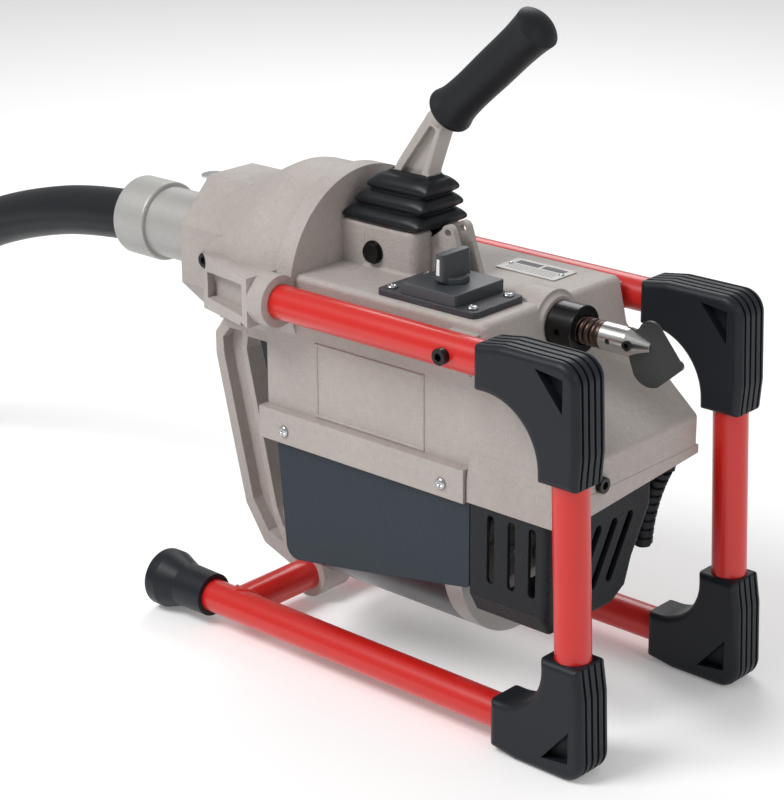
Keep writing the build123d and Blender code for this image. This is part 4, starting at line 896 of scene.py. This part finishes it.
@dataclass
class GuideHose(Assembly):
    """The rubber hose behind the machine, with its loop on the floor."""

    diameter: float = 0.045
    length: float = 2.02
    wall: float = 0.006
    route: tuple[Point, ...] = (
        (-0.190, 0.0, 0.305), (-0.335, 0.0, 0.305), (-0.480, 0.0, 0.271),
        (-0.573, -0.005, 0.226), (-0.682, -0.042, 0.163), (-0.771, -0.113, 0.101),
        (-0.824, -0.212, 0.050), (-0.833, -0.325, 0.0235), (-0.794, -0.433, 0.0235),
        (-0.709, -0.510, 0.0235), (-0.600, -0.541, 0.0235), (-0.488, -0.522, 0.0235),
        (-0.405, -0.454, 0.0235), (-0.366, -0.353, 0.0235), (-0.377, -0.242, 0.0235),
        (-0.433, -0.147, 0.0235), (-0.523, -0.085, 0.0235), (-0.630, -0.070, 0.0235),
    )

    def build(self) -> None:
        data = bpy.data.curves.new("guide_hose_rubber", "CURVE")
        data.dimensions = "3D"
        data.bevel_depth = self.diameter / 2
        data.bevel_resolution = 10
        data.resolution_u = 16
        data.use_fill_caps = False
        spline = data.splines.new("NURBS")
        spline.points.add(len(self.route) - 1)
        for point, where in zip(spline.points, self.route):
            point.co = (*where, 1.0)
        spline.order_u = 3
        spline.use_endpoint_u = True
        hose = bpy.data.objects.new("guide_hose_rubber", data)
        bpy.context.scene.collection.objects.link(hose)
        wall = hose.modifiers.new("Wall", "SOLIDIFY")
        wall.thickness = self.wall
        wall.offset = -1.0
        self.keep(hose, "machine", "hose_rubber", Look.HOSE, "guide_hose")


@dataclass
class TubeFrame(Assembly):
    """The bent tubes, the cross tube with its welds, the bumpers and the foot caps."""

    tube_radius: float = 0.014
    side: float = 0.101
    cross_x: float = -0.082
    cross_z: float = 0.025
    ripple: float = 0.0017
    ripple_spacing: float = 0.0016
    weld_points: int = 48
    weld_gap: float = 0.0002

    def build(self) -> None:
        """Dress the frame and weld its cross tube."""
        red = ("right_side_tube", "left_side_tube", "cross_tube")
        rubber = [f"{level}_{hand}_bumper" for level in ("upper", "lower") for hand in HANDS]
        rubber += [f"{hand}_foot_cap" for hand in HANDS]
        self.dress_nodes(dict.fromkeys(red, Look.FRAME_RED))
        self.dress_nodes(dict.fromkeys(rubber, Look.BUMPER))
        for hand, sign in HANDS.items():
            self._weld(hand, sign)

    def _weld(self, hand: str, sign: int) -> None:
        """Set a weld bead where the cross tube meets one side tube.

        Args:
            hand: The side's name.
            sign: -1 for the right side and 1 for the left.
        """
        count = self.weld_points
        places = []
        reach = self.tube_radius + self.weld_gap
        for step in range(count):
            turn = 2 * math.pi * step / count
            lift = reach * math.sin(turn)
            inset = math.sqrt(max(reach**2 - lift**2, 0.0))
            x = self.cross_x + reach * math.cos(turn)
            places.append((x, sign * (self.side - inset), self.cross_z + lift))
        mesh = bpy.data.meshes.new(hand + "_weld_line")
        mesh.from_pydata(places, [(i, (i + 1) % count) for i in range(count)], [])
        bead = self.trees["bead"].grow(
            hand + "_weld_bead",
            mesh,
            {
                "Spacing": self.ripple_spacing, "Ripple Radius": self.ripple,
                "Finish": self.paints.material(Look.FRAME_RED),
            },
        )
        self.keep(bead, "machine", "frame_paint", Look.FRAME_RED)


@dataclass
class Castings(Assembly):
    """The two painted housings, the rear leg, and the lips, webs and panel added to them."""

    flank: float = -0.084
    panel_low: tuple[float, float] = (-0.001, 0.210)
    panel_high: tuple[float, float] = (0.111, 0.270)
    ridge: float = 0.0016
    ridge_sides: int = 6
    ridge_flatness: float = 0.8
    ridge_sink: float = 0.0003
    web_start: float = 0.0272
    block_web: Outline = (
        (-0.0235, 0.3185), (0.0015, 0.3185), (0.0015, 0.3500), (-0.0235, 0.3500),
    )
    block_web_end: float = 0.0291
    deck_web: Outline = (
        (-0.0235, 0.3200), (0.0012, 0.3200), (0.0012, 0.3231), (-0.0235, 0.3231),
    )
    deck_web_end: float = 0.0478
    bore_web: Outline = (
        (-0.3180, 0.0280), (-0.3180, 0.0500), (-0.3300, 0.0495), (-0.3420, 0.0430),
        (-0.3520, 0.0280),
    )
    bore_web_ends: tuple[float, float] = (-0.0262, -0.0228)
    flank_lip: Outline = (
        (-0.0838, 0.2220), (-0.0884, 0.2005), (-0.0884, 0.1812), (-0.0872, 0.1812),
        (-0.0872, 0.1990), (-0.0838, 0.2180),
    )
    flank_lip_ends: tuple[float, float] = (0.1580, 0.2492)
    front_lip: Outline = (
        (-0.0884, 0.2010), (-0.0884, 0.1812), (0.0840, 0.1940), (0.0840, 0.2010),
    )
    front_lip_ends: tuple[float, float] = (0.2465, 0.2492)

    def build(self) -> None:
        """Dress the castings and add the panel's border, the lips and the webs."""
        self.dress_nodes(
            dict.fromkeys(("main_housing", "rear_housing", "rear_leg"), Look.CASTING)
        )
        low_x, low_z = self.panel_low
        high_x, high_z = self.panel_high
        self._cast(
            self._ridge_loop([(low_x, low_z), (high_x, low_z), (high_x, high_z), (low_x, high_z)])
        )
        self._cast(self._skirt())
        for hand, sign in HANDS.items():
            near = sign * self.web_start
            self._cast(
                self._prism(hand + "_block_web", self.block_web, near, sign * self.block_web_end)
            )
            self._cast(
                self._prism(hand + "_deck_web", self.deck_web, near, sign * self.deck_web_end)
            )
            filler = self._prism(hand + "_bore_web", self.bore_web, *self.bore_web_ends)
            upright = Matrix(((0, 1, 0, 0), (0, 0, sign, 0), (-1, 0, 0, 0), (0, 0, 0, 1)))
            move_mesh(filler, upright)
            close_mesh(filler)
            self._cast(filler)

    def _cast(self, piece: bpy.types.Object) -> None:
        """Keep a piece as part of the painted casting."""
        self.keep(piece, "machine", "casting_paint", Look.CASTING)

    def _prism(self, name: str, outline: Outline, near: float, far: float) -> bpy.types.Object:
        """A flat outline in X and Z, given a thickness along Y.

        Args:
            name: The piece's name.
            outline: The corners, as pairs of x and z.
            near: The y of one side.
            far: The y of the other side.

        Returns:
            The piece.
        """
        points = [(x, y, z) for y in (near, far) for x, z in outline]
        return mesh_object(name, points, prism_faces(len(outline)), smooth=False)

    def _skirt(self) -> bpy.types.Object:
        """The casting's lower lip round the front cover, flared on the flank.

        Returns:
            The lip.
        """
        points, faces = [], []
        for lip, ends in (
            (self.flank_lip, self.flank_lip_ends), (self.front_lip, self.front_lip_ends),
        ):
            faces += prism_faces(len(lip), len(points))
            points += [(x, y, z) for x in ends for y, z in lip]
        return mesh_object("front_skirt", points, faces, smooth=False)

    def _ridge_loop(self, corners: list[tuple[float, float]]) -> bpy.types.Object:
        """A half-round ridge round a loop of corners on the flank.

        Args:
            corners: The corners, as pairs of x and z.

        Returns:
            The ridge.
        """
        sides, count = self.ridge_sides, len(corners)
        middle_x = sum(x for x, _ in corners) / count
        middle_z = sum(z for _, z in corners) / count
        points, faces = [], []
        for x, z in corners:
            out_x = 1 if x > middle_x else -1
            out_z = 1 if z > middle_z else -1
            for step in range(sides + 1):
                turn = math.pi * step / sides
                reach = self.ridge * math.cos(turn)
                lift = self.ridge * self.ridge_flatness * math.sin(turn)
                y = self.flank + self.ridge_sink - lift
                points.append((x + out_x * reach, y, z + out_z * reach))
        ring = sides + 1
        for at in range(count):
            here, there = at * ring, (at + 1) % count * ring
            for step in range(sides):
                faces.append((here + step, here + step + 1, there + step + 1, there + step))
            faces.append((here, there, there + sides, here + sides))
        return mesh_object("side_panel_border", points, faces, smooth=False)


@dataclass
class Lever(Assembly):
    """The clutch lever with its grip, pins, springs and rubber boot."""

    spring_side: float = 0.0155
    spring_start: float = 0.0222
    spring_height: float = 0.343
    spring_length: float = 0.0268
    spring_turns: float = 6.0
    spring_radius: float = 0.0033
    spring_wire: float = 0.0006
    spring_seat: float = 0.05
    spring_keep: float = 0.85
    boot_low: float = 0.3582
    boot_high: float = 0.4000
    foot_centre: float = 0.0158
    centre_shift: float = 0.0148
    foot_size: tuple[float, float] = (0.0425, 0.0305)
    top_size: tuple[float, float] = (0.0270, 0.0150)
    collar_size: tuple[float, float] = (0.0219, 0.0089)
    folds: int = 3
    fold_reach: float = 0.0075
    fold_middle: float = 0.6
    fold_taper: float = 0.25
    collar_share: float = 0.93
    corner_flare: float = 0.075
    corner_droop: float = 0.0016
    squareness: float = 0.40
    ring_points: int = 96
    rings: int = 64
    wall: float = 0.0014
    hinge_x: float = 0.0185
    blend_ends: tuple[float, float] = (0.003, 0.002)

    def build(self) -> None:
        """Dress the lever, wind its springs and mould its boot."""
        self.dress_nodes(
            {"clutch_lever": Look.LEVER, "lever_grip": Look.GRIP, "lever_pins": Look.COLLAR}
        )
        for hand, sign in HANDS.items():
            side = sign * self.spring_side
            spring = self.coil(
                hand + "_lever_spring", self.spring_turns, self.spring_length,
                self.spring_radius, self.spring_wire, steps=18, sides=8,
            )
            move_mesh(spring, along_x(self.spring_start, self.spring_height, side))
            self.keep(spring, "machine", "dark_steel", Look.DARK, "lever_return_springs")
            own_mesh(spring)
        self._boot()

    def _section(self, share: float) -> tuple[float, float, float, float, float]:
        """The boot's section at a share of its height.

        Args:
            share: 0 at the foot and 1 at the lever.

        Returns:
            Centre x, half length, half width, height and how far the fold stands out.
        """
        centre = self.foot_centre + self.centre_shift * share
        half_x, half_y = (
            foot * (1 - share) + top * share for foot, top in zip(self.foot_size, self.top_size)
        )
        fold = abs(math.sin(math.pi * self.folds * min(share / self.collar_share, 1.0)))
        bulge = self.fold_reach * (fold**0.5 - self.fold_middle) * (1 - self.fold_taper * share)
        if share > self.collar_share:
            closing = (share - self.collar_share) / (1 - self.collar_share)
            half_x += (self.collar_size[0] - half_x) * closing
            half_y += (self.collar_size[1] - half_y) * closing
            bulge *= 1 - closing
            fold *= 1 - closing
        height = self.boot_low + (self.boot_high - self.boot_low) * share
        return centre, half_x + bulge, half_y + bulge, height, fold

    def _boot(self) -> None:
        """Mould the convoluted rubber boot round the lever."""
        points = []
        for ring in range(self.rings):
            centre, half_x, half_y, height, fold = self._section(ring / (self.rings - 1))
            for step in range(self.ring_points):
                turn = 2 * math.pi * step / self.ring_points
                c, s = math.cos(turn), math.sin(turn)
                corner = 1 + self.corner_flare * fold * math.sin(2 * turn) ** 6
                x = math.copysign(abs(c) ** self.squareness, c) * half_x * corner
                y = math.copysign(abs(s) ** self.squareness, s) * half_y * corner
                droop = self.corner_droop * fold * math.sin(2 * turn) ** 4
                points.append((centre + x, y, height - droop))
        boot = mesh_object("lever_boot_rubber", points, tube_faces(self.rings, self.ring_points))
        wall = boot.modifiers.new("Wall", "SOLIDIFY")
        wall.thickness = self.wall
        wall.offset = -1.0
        self.keep(boot, None, "boot_rubber", Look.BOOT, "lever_boot")
        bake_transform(boot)


@dataclass
class Drive(Assembly):
    """Spindle, clutch, bearings, pulleys, belt and guard."""

    def build(self) -> None:
        """Dress the drive."""
        self.dress_nodes(
            {
                "spindle": Look.BRIGHT, "spindle_bearings": Look.BRIGHT,
                "nose_collar": Look.COLLAR, "spindle_pulley": Look.DARK,
                "clutch_cone": Look.BRIGHT, "clutch_jaw_1": Look.BRIGHT,
                "clutch_jaw_2": Look.BRIGHT, "clutch_jaw_3": Look.BRIGHT,
                "drive_belt": Look.BELT, "belt_guard": Look.FRONT_COVER,
            }
        )


@dataclass
class Motor(Assembly):
    """The electric motor under the housing."""

    def build(self) -> None:
        """Dress the motor."""
        self.dress_nodes(
            {
                "motor_can": Look.ENAMEL, "motor_stator": Look.CORE,
                "motor_rear_bell": Look.ADAPTER, "motor_front_bell": Look.ADAPTER,
                "motor_bearings": Look.BRIGHT, "motor_bolts": Look.PLATED,
                "armature": Look.CORE, "motor_brushes": Look.CARBON,
                "motor_fan": Look.ADAPTER, "motor_pulley": Look.DARK,
            }
        )


@dataclass
class Cutter(Assembly):
    """The wound cable with its coupling and spade blade."""

    start: float = -0.188
    end: float = 0.2165
    radius: float = 0.011
    wire: float = 0.00258
    pitch: float = 0.0055
    height: float = 0.305
    ferrule_start: float = 0.2142
    ferrule_sides: int = 40
    ferrule: Outline = (
        (0.0, 0.0), (0.0104, 0.0), (0.0108, 0.0006), (0.0108, 0.0040), (0.0104, 0.0046),
        (0.0, 0.0046),
    )

    def build(self) -> None:
        """Wind the cable and dress its end."""
        self.dress_nodes(
            {
                "cutter_coupling": Look.BRIGHT, "spade_cutter": Look.BLADE,
                "cutter_screw": Look.DARK,
            }
        )
        length = self.end - self.start - 2 * self.wire
        cable = self.coil(
            "wound_cable", length / self.pitch, length, self.radius - self.wire, self.wire,
            steps=24, sides=10,
        )
        move_mesh(cable, along_x(self.start + self.wire, self.height))
        self.keep(cable, "cable", "coil_steel", Look.COIL, "drain_cable")
        ferrule = mesh_object("cable_ferrule", *lathe(self.ferrule, self.ferrule_sides))
        move_mesh(ferrule, along_x(self.ferrule_start, self.height))
        self.keep(ferrule, "cable", "coil_steel", Look.COIL)


@dataclass
class Covers(Assembly):
    """The black covers, with every screw and rivet that shows."""

    side_screws: tuple[float, float] = (-0.032, 0.135)
    side_screw_seat: float = 0.091
    side_screw_height: float = 0.191
    side_head: tuple[float, float] = (0.0047, 0.0030)
    deck_centre: Point = (0.1075, -0.049, 0.328)
    deck_reach: tuple[float, float] = (0.040, 0.021)
    deck_head: tuple[float, float] = (0.0043, 0.0027)
    plate_centre: Point = (0.112, 0.050, 0.324)
    rivet_reach: float = 0.0255
    rivet_head: tuple[float, float] = (0.0022, 0.0012)
    shank_radius: float = 0.0022
    shank_depth: float = 0.008
    head_wall: float = 0.30
    slot_half_width: float = 0.15
    slot_reach: float = 0.60
    slot_depth: float = 0.55

    def build(self) -> None:
        """Dress the covers and set every screw."""
        self.dress_nodes(
            {
                "right_side_cover": Look.SIDE_COVER, "left_side_cover": Look.SIDE_COVER,
                "front_motor_cover": Look.FRONT_COVER, "frame_screws": Look.COLLAR,
            }
        )
        places, aims = [], []
        for sign in HANDS.values():
            for x in self.side_screws:
                places.append((x, sign * self.side_screw_seat, self.side_screw_height))
                aims.append((0.0, float(sign), 0.0))
        self._fasten("cover_screw_set", places, aims, self._screw(*self.side_head), "cover_screws")
        x, y, z = self.deck_centre
        reach_x, reach_y = self.deck_reach
        deck = [(x + sx * reach_x, y + sy * reach_y, z) for sx in (-1, 1) for sy in (-1, 1)]
        up = (0.0, 0.0, 1.0)
        self._fasten("deck_screw_set", deck, [up] * 4, self._screw(*self.deck_head), "deck_screws")
        x, y, z = self.plate_centre
        rivets = [(x + sx * self.rivet_reach, y, z) for sx in (-1, 1)]
        self._fasten("plate_rivet_set", rivets, [up] * 2, self._rivet(*self.rivet_head))

    def _fasten(
        self, name: str, places: list, aims: list, fastener: bpy.types.Object, *stands_for: str
    ) -> None:
        """Set one kind of fastener at each place and keep the result as one piece.

        Args:
            name: The piece's name.
            places: Where each fastener's seat is.
            aims: The way that each one faces.
            fastener: The fastener, looking along Z. It is used up.
            stands_for: The CAD nodes that the piece replaces.
        """
        piece = self.trees["fastener"].grow(
            name,
            points_mesh(name + "_points", places, aims),
            {"Fastener": fastener, "Size": 1.0, "Finish": self.paints.material(Look.PLATED)},
        )
        bpy.data.objects.remove(fastener)
        self.keep(piece, "machine", "plated_steel", Look.PLATED, *stands_for)

    def _screw(self, radius: float, height: float) -> bpy.types.Object:
        """A pan head screw with a cross recess, looking along Z.

        Args:
            radius: The head's radius.
            height: The head's height.

        Returns:
            The screw, with the head's seat at height 0.
        """
        sides, rings = 48, 13
        shank, depth, wall = self.shank_radius, self.shank_depth, self.head_wall
        profile = [(0.0, -depth), (shank, -depth), (shank, 0.0), (radius, 0.0)]
        profile.append((radius, height * wall))
        for ring in range(1, rings):
            angle = math.pi / 2 * ring / rings
            rise = wall + (1 - wall) * math.sin(angle)
            profile.append((radius * math.cos(angle), height * rise))
        profile.append((0.0, height))
        points, faces = lathe(profile, sides)
        cut = []
        for x, y, z in points:
            narrow = min(abs(x), abs(y)) < radius * self.slot_half_width
            within = max(abs(x), abs(y)) < radius * self.slot_reach
            in_slot = narrow and within and z > height * wall
            cut.append((x, y, z - height * self.slot_depth if in_slot else z))
        return mesh_object("screw_pattern", cut, faces)

    def _rivet(self, radius: float, height: float) -> bpy.types.Object:
        """A round rivet head, looking along Z.

        Args:
            radius: The head's radius.
            height: The head's height.

        Returns:
            The rivet, with the head's seat at height 0.
        """
        sides, rings, depth = 24, 6, 0.003
        shank = radius * 0.5
        profile = [(0.0, -depth), (shank, -depth), (shank, 0.0), (radius, 0.0)]
        for ring in range(1, rings + 1):
            angle = math.pi / 2 * ring / rings
            profile.append((radius * math.cos(angle), height * math.sin(angle)))
        return mesh_object("rivet_pattern", *lathe(profile, sides))


@dataclass
class Controls(Assembly):
    """The switch, its knob with a white mark, and the printed plate."""

    knob: tuple[float, float] = (0.109, -0.048)
    mark_reach: float = 0.0171
    mark_depths: tuple[float, float] = (-0.00025, 0.0006)
    mark: Outline = ((-0.0016, 0.3445), (0.0016, 0.3445), (0.0013, 0.3570), (-0.0013, 0.3570))
    mark_foot: float = 0.340
    mark_slope: float = 0.025
    mark_edge: float = 0.0002

    def build(self) -> None:
        """Dress the switch and set its mark."""
        self.dress_nodes(
            {
                "switch_plate": Look.SWITCH_PLATE, "switch_bezel": Look.SWITCH,
                "switch_knob": Look.SWITCH, "switch_body": Look.SWITCH, "nameplate": Look.PLATE,
            }
        )
        points = []
        for depth in self.mark_depths:
            for x, z in self.mark:
                lean = self.mark_slope * (z - self.mark_foot)
                points.append((self.knob[0] + x, self.knob[1] - self.mark_reach + depth + lean, z))
        mark = mesh_object("knob_index_mark", points, prism_faces(len(self.mark)), smooth=False)
        edge = mark.modifiers.new("Edge", "BEVEL")
        edge.width = self.mark_edge
        edge.segments = 2
        self.keep(mark, "knob", "knob_plastic", Look.MARK)


@dataclass
class Fittings(Assembly):
    """The hose adapter with its latch, and the cord gland."""

    spring_x: float = -0.200
    spring_base: float = 0.3355
    spring_turns: float = 6.0
    spring_length: float = 0.0120
    spring_radius: float = 0.0033
    spring_wire: float = 0.0004
    spring_seat: float = 0.3483
    spring_keep: float = 0.5

    def build(self) -> None:
        """Dress the fittings and wind the latch's spring."""
        self.dress_nodes(
            {
                "hose_adapter": Look.ADAPTER, "latch_body": Look.PLATED,
                "latch_pin": Look.PLATED, "cable_gland": Look.GRIP,
                "gland_bend_relief": Look.GRIP,
            }
        )
        spring = self.coil(
            "latch_return_spring", self.spring_turns, self.spring_length, self.spring_radius,
            self.spring_wire, steps=18, sides=8,
        )
        move_mesh(spring, Matrix.Translation((self.spring_x, 0.0, self.spring_base)))
        self.keep(spring, "machine", "dark_steel", Look.DARK, "latch_spring")
        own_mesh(spring)


# ------------------------------------------------------------------ studio
@dataclass
class Studio:
    """Camera, lights and floor."""

    eye: Point = (1.1807, -1.3028, 0.8504)
    azimuth: float = 42.11
    pitch: float = 20.29
    roll: float = -0.33
    lens: float = 102.46
    aim: Point = (0.0, 0.0, 0.2)
    lamps: tuple[tuple[str, Point, float, float], ...] = (
        ("key", (-0.7, -1.7, 2.4), 1.3, 50.0),
        ("rim", (-1.2, 1.6, 1.9), 1.4, 18.0),
        ("fill", (2.4, -0.2, 1.5), 1.3, 9.0),
    )
    sky_strength: float = 0.42
    floor_half: float = 30.0
    floor_grey: float = 0.97
    floor_roughness: float = 0.7
    floor_glow: float = 0.16

    def build(self) -> None:
        """Set up the whole studio."""
        self._camera()
        self._floor()
        self._world()
        for lamp in self.lamps:
            self._lamp(*lamp)

    def _camera(self) -> None:
        """Place the camera."""
        az, down = math.radians(self.azimuth), math.radians(self.pitch)
        ahead = Vector(
            (-math.sin(az) * math.cos(down), math.cos(az) * math.cos(down), -math.sin(down))
        )
        right = Vector((math.cos(az), math.sin(az), 0.0))
        turn = Matrix((right, right.cross(ahead), -ahead)).transposed().to_4x4()
        data = bpy.data.cameras.new("camera")
        data.lens = self.lens
        data.sensor_width = 36.0
        data.clip_end = 50.0
        camera = bpy.data.objects.new("camera", data)
        camera.matrix_world = (
            Matrix.Translation(self.eye) @ turn @ Matrix.Rotation(math.radians(self.roll), 4, "Z")
        )
        bpy.context.scene.collection.objects.link(camera)
        bpy.context.scene.camera = camera

    def _floor(self) -> None:
        """Lay the pale floor."""
        half = self.floor_half
        floor = mesh_object(
            "floor",
            [(-half, -half, 0), (half, -half, 0), (half, half, 0), (-half, half, 0)],
            [(0, 1, 2, 3)],
        )
        material = bpy.data.materials.new("pale_floor")
        material.use_nodes = True
        material.node_tree.nodes.clear()
        graph = Graph(material.node_tree)
        shader = graph.node(
            "ShaderNodeBsdfPrincipled",
            {},
            {
                "Base Color": (*[self.floor_grey] * 3, 1.0), "Roughness": self.floor_roughness,
                "Emission Color": WHITE, "Emission Strength": self.floor_glow,
            },
        )
        graph.node("ShaderNodeOutputMaterial", {}, {"Surface": shader.outputs[0]})
        floor.data.materials.append(material)

    def _world(self) -> None:
        """Give the studio its even white light."""
        world = bpy.data.worlds.new("studio")
        world.use_nodes = True
        world.node_tree.nodes.clear()
        graph = Graph(world.node_tree)
        sky = graph.node(
            "ShaderNodeBackground", {}, {"Color": WHITE, "Strength": self.sky_strength}
        )
        graph.node("ShaderNodeOutputWorld", {}, {"Surface": sky.outputs[0]})
        bpy.context.scene.world = world
        bpy.context.scene.view_settings.view_transform = "Standard"

    def _lamp(self, name: str, where: Point, size: float, power: float) -> None:
        """Hang one soft lamp that looks at the machine.

        Args:
            name: The lamp's name.
            where: Its place.
            size: Its diameter.
            power: Its power in watts.
        """
        data = bpy.data.lights.new(name, "AREA")
        data.shape = "DISK"
        data.size = size
        data.energy = power
        lamp = bpy.data.objects.new(name, data)
        toward = (Vector(self.aim) - Vector(where)).to_track_quat("-Z", "Y")
        lamp.matrix_world = Matrix.Translation(where) @ toward.to_matrix().to_4x4()
        bpy.context.scene.collection.objects.link(lamp)


def main() -> None:
    """Build the machine's looks in order."""
    logging.basicConfig(level=logging.INFO, format="%(message)s")
    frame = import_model()
    Studio().build()
    paints = Paintbox()
    trees = {"coil": CoilTree(), "fastener": FastenerTree(), "bead": BeadTree()}
    for kind in (
        GuideHose, TubeFrame, Castings, Lever, Drive, Motor, Cutter, Covers, Controls, Fittings,
    ):
        kind(frame, paints, trees).build()
        LOG.info("built %s", kind.__name__)


if __name__ == "__main__":
    main()
